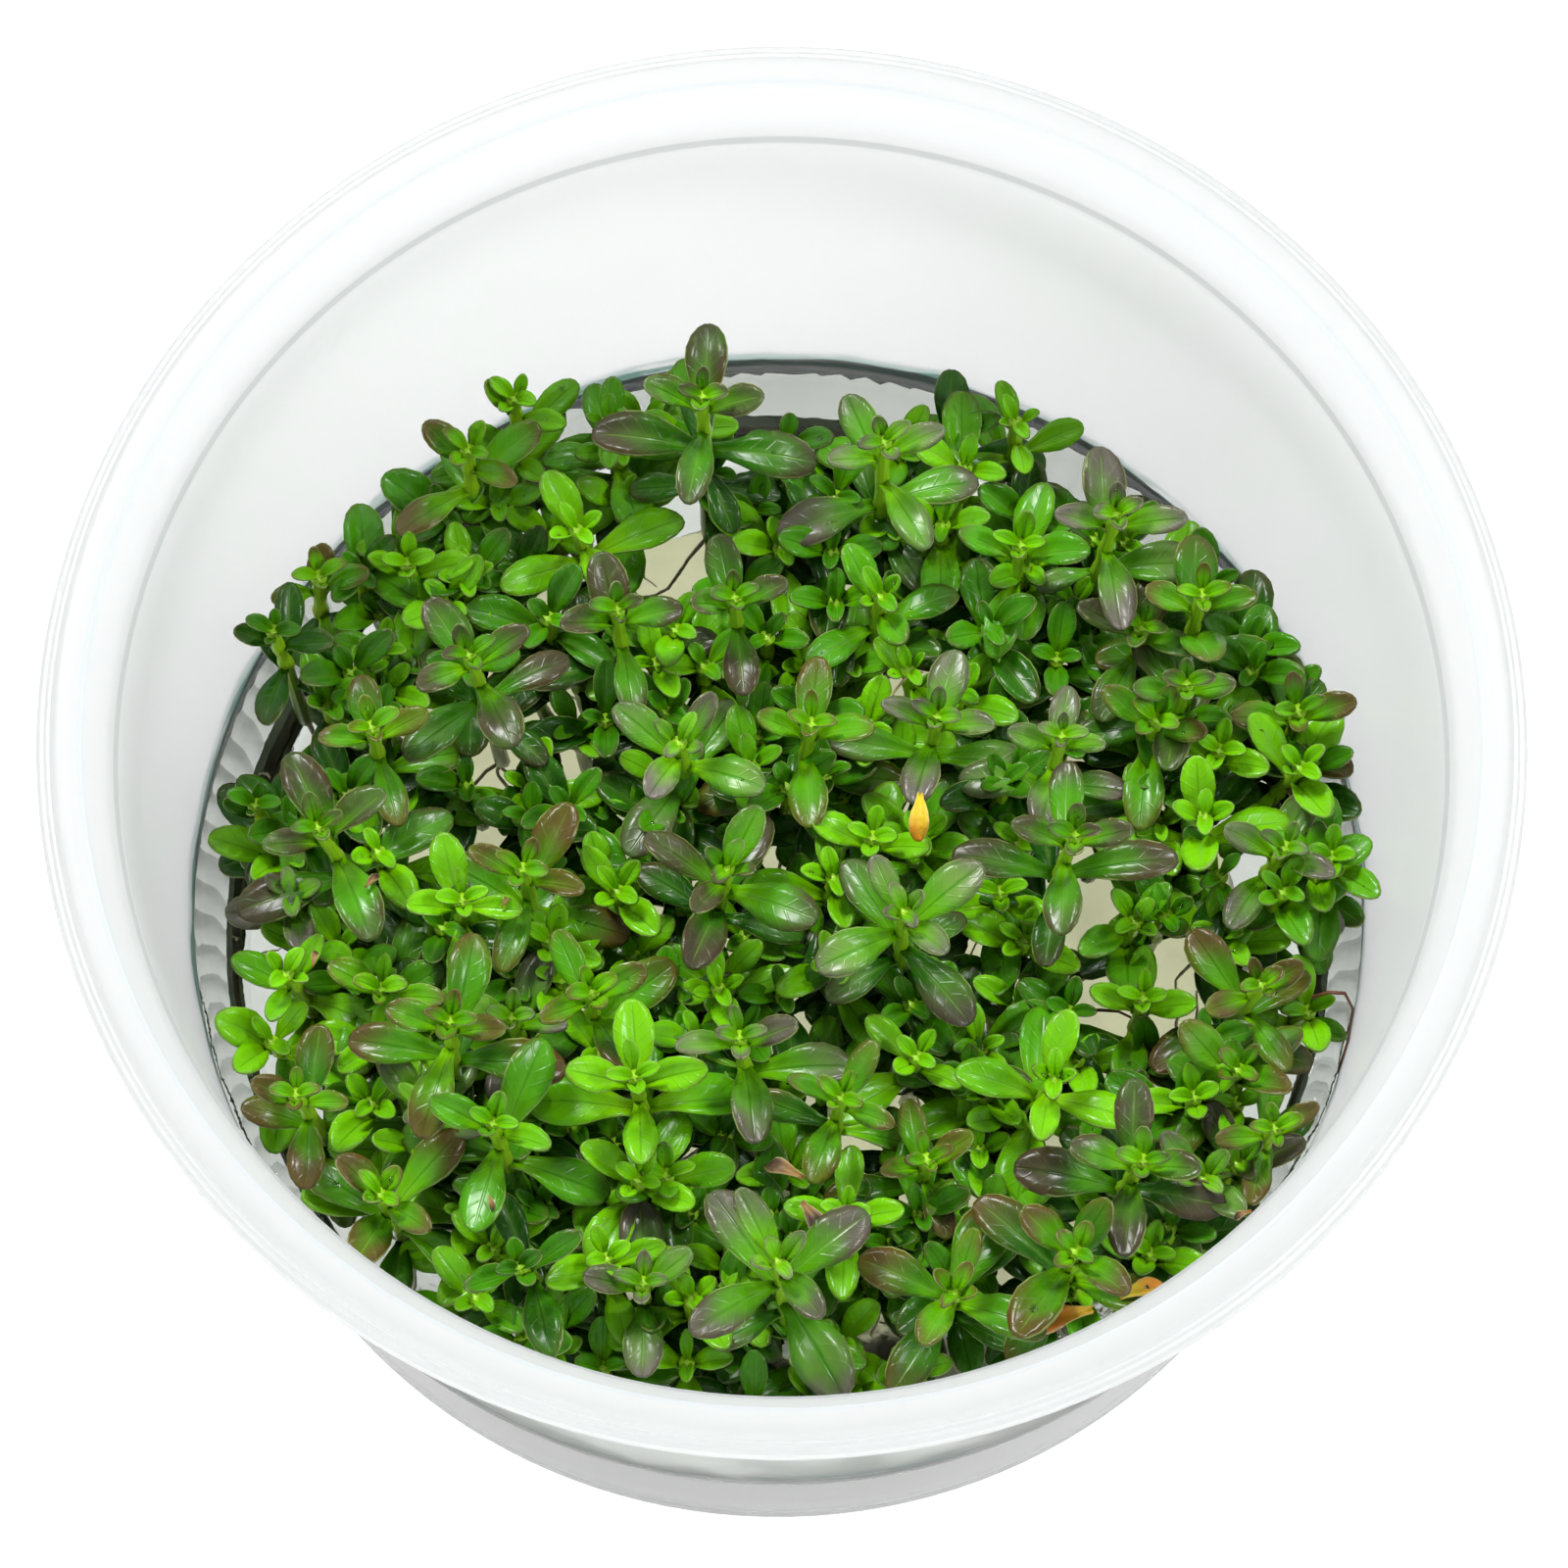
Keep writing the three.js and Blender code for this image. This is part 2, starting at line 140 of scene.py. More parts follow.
class Graph:
    """A material's nodes, with one method that adds any node."""

    def __init__(self, name):
        self.material = bpy.data.materials.new(name)
        self.material.use_nodes = True
        self.nodes = self.material.node_tree.nodes
        self.links = self.material.node_tree.links
        self.nodes.clear()

    def node(self, kind, settings=None, inputs=None):
        made = self.nodes.new(kind)
        for key, value in (settings or {}).items():
            setattr(made, key, value)
        for key, value in (inputs or {}).items():
            self.feed(made.inputs[key], value)
        return made

    def feed(self, socket, value):
        if isinstance(value, Wire):
            self.links.new(value.socket, socket)
        elif isinstance(value, (tuple, list)) and len(value) == 3 and socket.type == "RGBA":
            socket.default_value = (*value, 1)
        else:
            socket.default_value = value

    def add(self, kind, settings=None, inputs=None, output=0):
        return Wire(self, self.node(kind, settings, inputs).outputs[output])

    def blend(self, share, first, second):
        """A mix of two colours."""
        inputs = {"Factor": share, COLOUR_A: first, COLOUR_B: second}
        return self.add("ShaderNodeMix", {"data_type": "RGBA"}, inputs, MIXED_COLOUR)

    def mix(self, share, first, second):
        """A mix of two shaders."""
        return self.add("ShaderNodeMixShader", None, {0: share, 1: first, 2: second})

    def noise(self, place, scale, detail=2.0, roughness=0.5):
        inputs = {"Vector": place, "Scale": scale, "Detail": detail, "Roughness": roughness}
        return self.add("ShaderNodeTexNoise", None, inputs)

    def place(self):
        return self.add("ShaderNodeTexCoord", None, None, "Object")

    def parts(self, place):
        """The three coordinates of a place, each by itself."""
        made = self.node("ShaderNodeSeparateXYZ", None, {"Vector": place})
        return [Wire(self, output) for output in made.outputs]

    def leaf_map(self):
        """How far along a leaf or stem, and how far over it."""
        return self.parts(self.add("ShaderNodeUVMap", {"uv_map": "leaf"}))[:2]

    def field(self, name):
        """A value that the mesh's corners carry."""
        return self.add("ShaderNodeAttribute", {"attribute_name": name}, None, "Fac")

    def bump(self, strength, depth, height):
        inputs = {"Strength": strength, "Distance": depth, "Height": height}
        return self.add("ShaderNodeBump", None, inputs)

    def surface(self, inputs):
        return self.add("ShaderNodeBsdfPrincipled", None, inputs)

    def glow(self, colour):
        """Light that comes through from the other side."""
        return self.add("ShaderNodeBsdfTranslucent", None, {"Color": colour})

    def finish(self, shader, volume=None):
        out = self.node("ShaderNodeOutputMaterial")
        self.links.new(shader.socket, out.inputs["Surface"])
        if volume:
            self.links.new(volume.socket, out.inputs["Volume"])
        return self.material


# %% [markdown]
# ## Reading the shoots off their solids
# Each shoot's solid is a square stem with thin plates for leaves. A plate ends in one corner that has
# four neighbours, two and two a plate's thickness apart, so every leaf can be found by that pattern:
# its tip, its broadest line, and the four corners where it grows from the stem.

# %% Find the leaves and the stem of one shoot
PLATE = 0.5 * MM
STEM_SIDE = 1.0 * MM
HALF_DIAGONAL = 0.72 * STEM_SIDE
SLACK = 0.03 * MM
Leaf = namedtuple("Leaf", "root left right tip rank")
Shoot = namedtuple("Shoot", "name joints leaves")


def mean(corners):
    return sum((corner.co for corner in corners), Vector()) / len(corners)


def plate_pairs(corner):
    """The two pairs of corners behind a leaf tip, or None where the corner is no leaf tip."""
    around = [edge.other_vert(corner) for edge in corner.link_edges]
    if len(around) != 4:
        return None
    first = around[0]
    for mate in around[1:]:
        rest = [other for other in around[1:] if other is not mate]
        spans = (first.co - mate.co).length, (rest[0].co - rest[1].co).length
        if all(abs(span - PLATE) < SLACK for span in spans):
            return (first, mate), tuple(rest)
    return None


def read_shoot(name):
    solid = bmesh.new()
    solid.from_mesh(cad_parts[name].data)
    bmesh.ops.remove_doubles(solid, verts=solid.verts, dist=0.01 * MM)
    found = []
    for corner in solid.verts:
        pairs = plate_pairs(corner)
        if not pairs:
            continue
        broad = [*pairs[0], *pairs[1]]
        roots = {edge.other_vert(end) for end in broad for edge in end.link_edges}
        roots -= {corner, *broad}
        root = mean(list(roots))
        sides = mean(pairs[0]), mean(pairs[1])
        outward = corner.co - root
        # Seen from above and looking out along the leaf, the left side comes first
        if outward.cross(sides[0] - sides[1]).z < 0:
            sides = sides[1], sides[0]
        found.append((root, *sides, corner.co.copy()))
    lowest = sorted(solid.verts, key=lambda corner: corner.co.z)[:4]
    foot = mean(lowest)
    levels = sorted({round(leaf[0].z / MM, 1) for leaf in found}, reverse=True)
    joints = []
    for level in levels:
        ring = [corner for corner in solid.verts
                if abs(corner.co.z / MM - level) < 0.5 and near_stem(corner, found, level)]
        joints.append(mean(ring))
    leaves = [Leaf(*leaf, levels.index(round(leaf[0].z / MM, 1))) for leaf in found]
    solid.free()
    return Shoot(name, joints + [foot], leaves)


def near_stem(corner, found, level):
    roots = [leaf[0] for leaf in found if abs(leaf[0].z / MM - level) < 0.1]
    return min((corner.co - root).length for root in roots) < HALF_DIAGONAL + SLACK


shoots = [read_shoot(name) for name in shoot_names]
print("leaves found:", sum(len(shoot.leaves) for shoot in shoots))

# %% [markdown]
# ## Camera, lights and floor
# The photograph looks down into the cup from about 71 degrees, from far away, so the rim stays nearly
# round. The camera stands on that line of sight and is turned a little about it, as the photo is.
# A white floor under a white sky and three lamps give the soft, almost shadowless studio light.

# %% Aim the camera
LOOK_DOWN = math.radians(70.91)
CAMERA_ROLL = math.radians(1.31)
CAMERA_DISTANCE = 1501.5 * MM
LENS = 514.4
RIM_LEVEL = 52.43 * MM
AIM_ASIDE = 0.19 * MM
AIM_DOWN = -2.76 * MM

across = Vector((1, 0, 0))
ahead = Vector((0, math.cos(LOOK_DOWN), -math.sin(LOOK_DOWN)))
upward = Vector((0, math.sin(LOOK_DOWN), math.cos(LOOK_DOWN)))
lens_data = bpy.data.cameras.new("camera")
lens_data.lens = LENS
lens_data.sensor_width = 36
lens_data.clip_start = 0.1
lens_data.clip_end = 10
camera = bpy.data.objects.new("camera", lens_data)
bpy.context.scene.collection.objects.link(camera)
bpy.context.scene.camera = camera
place = across * AIM_ASIDE + upward * AIM_DOWN - ahead * CAMERA_DISTANCE + Vector((0, 0, RIM_LEVEL))
right_way = across * math.cos(CAMERA_ROLL) + upward * math.sin(CAMERA_ROLL)
up_way = upward * math.cos(CAMERA_ROLL) - across * math.sin(CAMERA_ROLL)
turn = Matrix((right_way, up_way, -ahead)).transposed().to_4x4()
camera.matrix_world = Matrix.Translation(place) @ turn
print("camera at", [round(value, 3) for value in place])


# %% Light the studio
LAMP_AIM = Vector((0, 0, 0.02))
SKY_STRENGTH = 0.3


def add_lamp(name, size, power, spot):
    lamp = bpy.data.lights.new(name, "AREA")
    lamp.shape = "DISK"
    lamp.size = size
    lamp.energy = power
    thing = bpy.data.objects.new(name, lamp)
    bpy.context.scene.collection.objects.link(thing)
    thing.location = spot
    thing.rotation_euler = (LAMP_AIM - Vector(spot)).to_track_quat("-Z", "Y").to_euler()


world = bpy.data.worlds.new("white studio")
bpy.context.scene.world = world
world.use_nodes = True
sky = world.node_tree.nodes["Background"]
sky.inputs["Color"].default_value = (1, 1, 1, 1)
sky.inputs["Strength"].default_value = SKY_STRENGTH
add_lamp("broad lamp", 0.28, 7.6, (-0.3, 0.5, 0.85))
add_lamp("near lamp", 0.2, 2.4, (0.55, -0.1, 0.75))
add_lamp("small lamp", 0.06, 1.6, (0.25, 0.35, 0.85))
bpy.context.scene.view_settings.view_transform = "Standard"
# Light passes many leaves and walls here, so its bounces are kept few to save time
paths = bpy.context.scene.cycles
paths.max_bounces = 6
paths.diffuse_bounces = 1
paths.glossy_bounces = 2
paths.transmission_bounces = 5

# %% [markdown]
# The floor is one large plate. It is no part of the object.

# %% Lay the floor
deselect()
bpy.ops.mesh.primitive_grid_add(x_subdivisions=8, y_subdivisions=8, size=4, location=(0, 0, -0.2 * MM))
floor = bpy.context.object
floor.name = "floor"
paper = Graph("white floor")
paper_grain = paper.noise(paper.place(), 900.0)
floor.data.materials.append(paper.finish(paper.surface({
    "Base Color": paper.blend(paper_grain, (0.34, 0.34, 0.34), (0.36, 0.36, 0.36)),
    "Roughness": 0.9,
    "Emission Color": (1, 1, 1),
    "Emission Strength": 1.0,
})))
# The lamps light the plants, so no light rays are spent on aiming at the floor
floor.data.materials[0].cycles.emission_sampling = "NONE"

# %% [markdown]
# ## The leaf
# A rotala leaf is a glossy little spoon: narrow where it leaves the stem, broadest past the middle and
# round at the tip, with a fold along the midrib. It is repeated hundreds of times, so one blank with a
# few dozen faces is shaped from a grid, thickened, and then laid along every leaf of the solids.

# %% Shape the leaf blank
LEAF_LENGTH = 6 * MM
LEAF_HALF = 1.6 * MM
LEAF_THICK = 0.2 * MM
LEAF_FOLD = 0.08 * MM
# Each row of the leaf: how far along it lies, and its share of the greatest width
LEAF_ROWS = ((0, 0.3), (0.12, 0.35), (0.27, 0.56), (0.43, 0.84), (0.58, 1), (0.72, 0.98), (0.86, 0.79),
             (0.955, 0.48), (0.995, 0.18))
ROWS = len(LEAF_ROWS) - 1

deselect()
bpy.ops.mesh.primitive_grid_add(x_subdivisions=ROWS, y_subdivisions=4, size=2 * LEAF_HALF)
blank = bpy.context.object
blank.name = "leaf_blank"
start_edit(blank)
for row in range(ROWS, -1, -1):
    station, share = LEAF_ROWS[row]
    at = (2 * row / ROWS - 1) * LEAF_HALF
    pick(blank, lambda co: abs(co.x - at) < LEAF_HALF / ROWS / 2)
    bpy.ops.transform.resize(value=(1, share, 1))
    bpy.ops.transform.translate(value=(LEAF_LENGTH - LEAF_HALF + station * LEAF_LENGTH - at, 0, 0))
bpy.ops.mesh.select_all(action="SELECT")
bpy.ops.transform.translate(value=(LEAF_HALF - LEAF_LENGTH, 0, 0))
pick(blank, lambda co: abs(co.y) < 0.01 * MM and co.x < 0.9 * LEAF_LENGTH)
bpy.ops.transform.translate(value=(0, 0, -LEAF_FOLD))
end_edit()
bpy.ops.object.modifier_add(type="SOLIDIFY")
blank.modifiers[-1].thickness = LEAF_THICK
blank.modifiers[-1].offset = 0
bpy.ops.object.modifier_apply(modifier=blank.modifiers[-1].name)
print("leaf blank:", len(blank.data.polygons), "faces")

# %% [markdown]
# ## The stem
# The stems are straight, slightly square and a little thicker at each leaf pair. The blank is a ring
# that is extruded upwards, one ring after the other, and closed at both ends.

# %% Shape the stem blank
STEM_RADIUS = 0.6 * MM
STEM_RINGS = 18
deselect()
bpy.ops.mesh.primitive_circle_add(vertices=8, radius=STEM_RADIUS, fill_type="NGON")
stem_blank = bpy.context.object
stem_blank.name = "stem_blank"
start_edit(stem_blank)
bpy.ops.mesh.select_all(action="SELECT")
for ring in range(STEM_RINGS):
    bpy.ops.mesh.extrude_region_move(TRANSFORM_OT_translate={"value": (0, 0, 1 * MM)})
end_edit()
print("stem blank:", len(stem_blank.data.polygons), "faces")


# %% [markdown]
# ## Laying a blank along a line
# A leaf of the solid gives three places: root, broadest line and tip. A parabola through them is the
# leaf's spine. Every corner of the blank keeps its share of the length and the width, and small random
# amounts of cupping, twist and waviness make each leaf its own.

# %% Lay one leaf
class Blank:
    """The corners and faces of a modelled blank, as arrays."""

    def __init__(self, thing):
        mesh = thing.data
        corners = np.empty(len(mesh.vertices) * 3)
        mesh.vertices.foreach_get("co", corners)
        self.corners = corners.reshape(-1, 3)
        self.faces = [tuple(face.vertices) for face in mesh.polygons]
        bpy.data.objects.remove(thing)


leaf_blank = Blank(blank)
ring_blank = Blank(stem_blank)
along_leaf = np.clip(leaf_blank.corners[:, 0] / LEAF_LENGTH, 0, 1)
row_width = np.interp(along_leaf, [row[0] for row in LEAF_ROWS], [row[1] for row in LEAF_ROWS])
across_leaf = leaf_blank.corners[:, 1] / LEAF_HALF
share_across = np.clip(across_leaf / row_width, -1, 1)
BROADEST = 0.62
WIDTH_SHARE = 0.84
rng = np.random.default_rng(7)


def unit(rows):
    return rows / np.linalg.norm(rows, axis=-1, keepdims=True)


def lay_leaf(leaf, cup, wave, twist, curl, arch):
    """The blank's corners, laid along the leaf's spine."""
    root, left, right, tip = (np.array(point) for point in leaf[:4])
    broad = (left + right) / 2
    width = np.linalg.norm(left - right)
    t = along_leaf[:, None]
    b = BROADEST
    spine = (root * (t - b) * (t - 1) / b + broad * t * (t - 1) / (b * (b - 1))
             + tip * t * (t - b) / (1 - b))
    along = unit(root * (2 * t - b - 1) / b + broad * (2 * t - 1) / (b * (b - 1))
                 + tip * (2 * t - b) / (1 - b))
    side = unit(unit(left - right) - along * (along @ unit(left - right))[:, None])
    face_up = np.cross(along, side)
    angle = twist * (t - 0.3)
    side, face_up = (side * np.cos(angle) + face_up * np.sin(angle),
                     face_up * np.cos(angle) - side * np.sin(angle))
    v = share_across[:, None]
    lift = cup * width * (v ** 2) * np.sin(np.pi * np.clip(t, 0, 1) ** 0.8)
    lift = lift + wave * width * np.abs(v) * np.sin(9 * t + 4 * v)
    lift = lift + arch * width * np.sin(np.pi * np.abs(v)) * np.sin(np.pi * np.clip(t, 0, 1))
    lift = lift - curl * width * np.clip(t - b, 0, 1) ** 2
    scale = width / (2 * LEAF_HALF)
    lift = lift + leaf_blank.corners[:, 2:3] * (0.55 + 0.45 * scale)
    return spine + side * across_leaf[:, None] * (width * WIDTH_SHARE / 2) + face_up * lift


# %% [markdown]
# ## Filling out each shoot
# The solids keep the leaf pairs that make the outline. The real shoots have more: a tiny closed pair in
# the tip, and older, darker pairs lower on the stem. Each new leaf is kept only where it is clear of
# the leaves that are there already, so points on every leaf are remembered and measured against.

# %% Remember where leaves are
GEL_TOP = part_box("gel")[1].z
CLEAR = 0.3 * MM
GEL_CLEAR = 0.2 * MM
NEARBY = 6 * MM
STEM_SPOTS = 14
CUP_LEDGE_RADIUS = 44.8 * MM
CUP_LEDGE_HEIGHT = 48.5 * MM
CUP_FLOOR_RADIUS = 37.5 * MM
CUP_FLOOR = 1 * MM
taken = np.empty((60000, 3))
taken_count = 0


def remember(points):
    global taken_count
    taken[taken_count:taken_count + len(points)] = points
    taken_count += len(points)


def wall_radius(height):
    """The radius of the cup's inner wall at a height."""
    share = (height - CUP_FLOOR) / (CUP_LEDGE_HEIGHT - CUP_FLOOR)
    return CUP_FLOOR_RADIUS + (CUP_LEDGE_RADIUS - CUP_FLOOR_RADIUS) * share


def leaf_points(leaf):
    """Points spread over a leaf, for measuring how near two leaves come."""
    root, left, right, tip = (np.array(point) for point in leaf[:4])
    broad = (left + right) / 2
    points = [root * 0.45 + broad * 0.55, broad, broad * 0.5 + tip * 0.5, tip]
    for edge in (left, right):
        points += [edge, edge * 0.6 + root * 0.4, edge * 0.45 + tip * 0.55, edge * 0.5 + broad * 0.5]
    return np.array(points)


def is_clear(points):
    held = taken[:taken_count]
    near = held[np.abs(held - points.mean(axis=0)).max(axis=1) < NEARBY]
    if len(near) == 0:
        return True
    gaps = np.linalg.norm(near[:, None] - points[None], axis=2)
    return gaps.min() > CLEAR


def inside_cup(points):
    out = np.hypot(points[:, 0], points[:, 1])
    return (out < wall_radius(points[:, 2]) - CLEAR).all() and (points[:, 2] > GEL_TOP + GEL_CLEAR).all()


def stem_points(joints):
    line = np.array([list(joint) for joint in joints])
    spots = np.linspace(0, len(line) - 1, STEM_SPOTS)
    return np.stack([np.interp(spots, range(len(line)), line[:, axis]) for axis in range(3)], axis=1)


for shoot in shoots:
    for leaf in shoot.leaves:
        remember(leaf_points(leaf))
    remember(stem_points(shoot.joints))
print("points remembered:", taken_count)

# Places where the gel shows between the plants, as the camera sees it: across, back and radius in mm
CLEARINGS = ((-7.5, 28, 3.2), (-7.5, 24, 2.2), (-24.8, 12.7, 2.6), (-20, 10, 2.6), (-26.2, 4.1, 2.6),
             (20.7, 1.8, 3.2), (31.7, 4.4, 3.4), (27, -2.6, 2.6), (22.4, -6.2, 3), (28.1, -7.4, 3.2),
             (32.8, -12.5, 3), (19.8, 3.9, 2.4), (7.7, -30.7, 2), (-32, -18.6, 3), (-36, 13, 6),
             (-37.5, -6, 3.2), (-2, 39, 6), (4, 38, 5), (38.4, -4.9, 3), (20, 35, 4.5), (8.8, 16.8, 2.4))
# A leaf may hide the outer part of a clearing
GAP_SHARE = 0.6
gap_middles = np.array(CLEARINGS)[:, :2] * MM
gap_reaches = np.array(CLEARINGS)[:, 2] * MM


def in_clearing(places, share=1):
    """Whether any of the places lies within a share of a clearing's radius."""
    off = places[:, None] - gap_middles[None]
    return (np.hypot(off[:, :, 0], off[:, :, 1]) < gap_reaches * share).any()


def hides_gap(points):
    """Whether the leaf would stand between the camera and a clearing."""
    back = points[:, 1] + (points[:, 2] - GEL_TOP) / math.tan(LOOK_DOWN)
    return in_clearing(np.stack([points[:, 0], back], axis=1), GAP_SHARE)


# %% Grow one more leaf
def grow_leaf(joint, heading, length, width, lift, droop, rank):
    """A leaf from a place on the stem, out along a heading."""
    outward = Vector((math.cos(heading), math.sin(heading), 0))
    root = joint + outward * STEM_SIDE / 2
    way = outward * math.cos(lift) + Vector((0, 0, math.sin(lift)))
    tip_way = outward * math.cos(lift - droop) + Vector((0, 0, math.sin(lift - droop)))
    broad = root + way * length * BROADEST
    tip = broad + tip_way * length * (1 - BROADEST)
    side = Vector((-math.sin(heading), math.cos(heading), 0)) * width / 2
    return Leaf(root, broad + side, broad - side, tip, rank)


# Where a leaf has no room it is made smaller, lifted and turned aside, in degrees
TRIMS = (1, 0.84, 0.7)
LIFTS = (0, 15, -12, 30)
TURNS = (0, 17, -17, 34, -34)


def try_leaf(joint, heading, length, width, lift, droop, rank):
    """The largest leaf here that is clear of the rest, or None."""
    for trim in TRIMS:
        for raised in LIFTS:
            for aside in TURNS:
                leaf = grow_leaf(joint, heading + math.radians(aside), length * trim, width * trim,
                                 lift + math.radians(raised), droop, rank)
                points = leaf_points(leaf)
                if inside_cup(points) and not hides_gap(points) and is_clear(points):
                    remember(points)
                    return leaf
    return None


FULL_LEAF = 5.6 * MM
LOWER_PAIRS = 3
LOWER_STEP = 3.1 * MM


def heading_of(leaf):
    return math.atan2(leaf.tip.y - leaf.root.y, leaf.tip.x - leaf.root.x)


def add_lower_pairs(shoot):
    """Older leaf pairs below the lowest one that the solid has."""
    lowest = max(leaf.rank for leaf in shoot.leaves)
    foot = shoot.joints[-1]
    top = shoot.joints[-2]
    start = heading_of([leaf for leaf in shoot.leaves if leaf.rank == lowest][0])
    grown = []
    for step in range(1, LOWER_PAIRS + 1):
        height = top.z - step * LOWER_STEP
        if height < GEL_TOP + 0.7 * MM:
            break
        share = (top.z - height) / (top.z - foot.z)
        joint = top.lerp(foot, share)
        heading = start + math.pi / 2 * step
        for turn_back in (0, math.pi):
            size = FULL_LEAF * rng.uniform(0.85, 1.15)
            leaf = try_leaf(joint, heading + turn_back + rng.uniform(-0.2, 0.2), size, size * 0.5,
                            math.radians(rng.uniform(2, 16)), math.radians(14), lowest + step)
            if leaf:
                grown.append(leaf)
    return shoot._replace(leaves=shoot.leaves + grown)


shoots = [add_lower_pairs(shoot) for shoot in shoots]
print("leaves with the lower pairs:", sum(len(shoot.leaves) for shoot in shoots))

# %% [markdown]
# ## The small side shoots
# Between the tall shoots stand younger and lower ones. They are too fine for the solids, so they are
# grown here from where their tips show in the photograph: across, back and height above the gel, in
# millimetres, and the heading of the youngest pair in degrees.

# %% Grow the side shoots
SIDE_SHOOTS = {
    "bright": ((-22, 21.4, 7, 20), (-15.6, -5.4, 9, 60), (-11, -1.7, 9, 45), (3.7, -0.7, 10, 10),
               (6.3, 1.9, 11, 80), (9.3, 3, 8, 30), (3.8, -6.3, 8, 120), (29.9, 9.1, 10, 70),
               (25.7, 4.8, 7, 15), (15.1, -0.8, 8, 100), (-27.4, 0.7, 9, 35), (-27.3, -17.3, 9, 140),
               (-9.1, -23.4, 12, 65), (-5.3, -31, 10, 25), (-11, -28.7, 11, 110), (9.6, -13.5, 10, 50),
               (28.6, -15.9, 10, 95), (14, -18.7, 9, 5), (25.8, -26.5, 8, 75), (16.8, -3.9, 7, 55)),
    "green": ((-27.5, 16.3, 6, 80), (19.7, 21.3, 8, 40), (-2.2, 8, 8, 15), (37.7, 1.9, 9, 85),
              (34.4, -1, 10, 30), (16.3, 3.1, 7, 70), (24.4, -2.7, 8, 130), (-19.9, -30.7, 8, 45),
              (-7.2, -22.7, 11, 100), (-31.2, 12, 7, 30), (12, 13.5, 8, 60), (21, -29, 7, 20),
              (3, -33.5, 6, 50), (-14.5, -34, 6, 10)),
    "dark": ((-2.3, 27.2, 7, 60), (2.9, 7.4, 8, 100), (15.2, 6.7, 9, 120), (-13.6, -17.7, 6, 25),
             (13, -14.2, 8, 75), (26.5, -1.9, 7, 15), (-8, 12, 7, 45), (-17, 4, 7, 85),
             (-6, -12, 7, 20), (20, -9, 7, 65), (0, -24, 7, 5), (8, -26, 7, 95), (-16, -24, 7, 50)),
    "grey": ((-33.4, -2.3, 8, 10), (-23.9, -18.2, 11, 60), (29.3, -22.1, 11, 35), (-8.6, -30.7, 12, 90)),
    "purple": ((24.4, 17.5, 12, 70), (31.6, -20.3, 13, 25)),
    "olive": ((25.5, 10.5, 12, 55), (35.2, 12.1, 10, 100)),
}
# Pairs from the tip down: depth below the tip in mm, share of a full leaf, lift and droop in degrees
SIDE_PAIRS = ((0.5, 0.5, 58, 6), (2.0, 0.82, 38, 12), (4.4, 1.05, 18, 16), (7.4, 1.1, 8, 16))
LOW_PAIRS = ((0.5, 0.7, 46, 10), (2.4, 1.0, 24, 16), (4.8, 1.1, 10, 16))
FOOT_DEPTH = 2.5 * MM
TIP_MARGIN = 2.2 * MM


def grow_side_shoot(name, x, y, tall, turn, pairs=SIDE_PAIRS):
    tip = Vector((x, y, 0)) * MM
    tip.z = GEL_TOP + tall * MM
    lean = rng.uniform(0.02, 0.08)
    foot = Vector((tip.x * (1 - lean), tip.y * (1 - lean), GEL_TOP - FOOT_DEPTH))
    most = wall_radius(tip.z) - TIP_MARGIN
    out = math.hypot(tip.x, tip.y)
    if out > most:
        tip.x *= most / out
        tip.y *= most / out
    while not is_clear(stem_points([tip, foot.lerp(tip, 0.3)])):
        tip.z -= 1 * MM
        if tip.z < GEL_TOP + 2 * MM:
            return None
    remember(stem_points([tip, foot]))
    joints = []
    leaves = []
    for rank, (depth, share, lift, droop) in enumerate(pairs):
        height = tip.z - depth * MM
        if height < GEL_TOP + 0.6 * MM:
            break
        joint = tip.lerp(foot, (tip.z - height) / (tip.z - foot.z))
        joints.append(joint)
        for face in range(2):
            heading = math.radians(turn + 90 * rank + 180 * face + rng.uniform(-8, 8))
            size = FULL_LEAF * share * rng.uniform(0.85, 1.1)
            leaf = try_leaf(joint, heading, size, size * rng.uniform(0.5, 0.62),
                            math.radians(lift), math.radians(droop), rank)
            if leaf:
                leaves.append(leaf)
    return Shoot(name, joints + [foot], leaves)


side_shoots = []
for look, spots in SIDE_SHOOTS.items():
    for number, spot in enumerate(spots):
        grown = grow_side_shoot(f"side_{look}_{number}", *spot)
        if grown:
            side_shoots.append((look, grown))
print("side shoots:", len(side_shoots), "leaves:", sum(len(shoot.leaves) for _, shoot in side_shoots))

# %% [markdown]
# Under the canopy the gel is nearly hidden by short growth, half of it dark green, which is partly painted
# shade. Its places don't matter one by one, so short shoots are tried on a loose grid over the whole gel,
# and stay where there is room for them.

# %% Fill the low layer
LOW_SPACING = 4.4 * MM
LOW_MARGIN = 2.5 * MM
low_reach = int(wall_radius(GEL_TOP) / LOW_SPACING) + 1
for column in range(-low_reach, low_reach + 1):
    for row in range(-low_reach, low_reach + 1):
        x = (column + 0.5 * (row % 2) + rng.uniform(-0.35, 0.35)) * LOW_SPACING
        y = (row * 0.87 + rng.uniform(-0.35, 0.35)) * LOW_SPACING
        tall = rng.uniform(3.5, 8.5)
        # Half of the low shoots take the dark look, whose deep green partly paints the shade under the
        # canopy
        look = rng.choice(["dark", "green", "bright"], p=[0.5, 0.35, 0.15])
        if math.hypot(x, y) > wall_radius(GEL_TOP) - LOW_MARGIN or in_clearing(np.array([(x, y)])):
            continue
        grown = grow_side_shoot(f"low_{column}_{row}", x / MM, y / MM, tall, rng.uniform(0, 180), LOW_PAIRS)
        if grown and len(grown.leaves) > 1:
            side_shoots.append((look, grown))
print("with the low layer:", len(side_shoots), "leaves:", sum(len(shoot.leaves) for _, shoot in side_shoots))
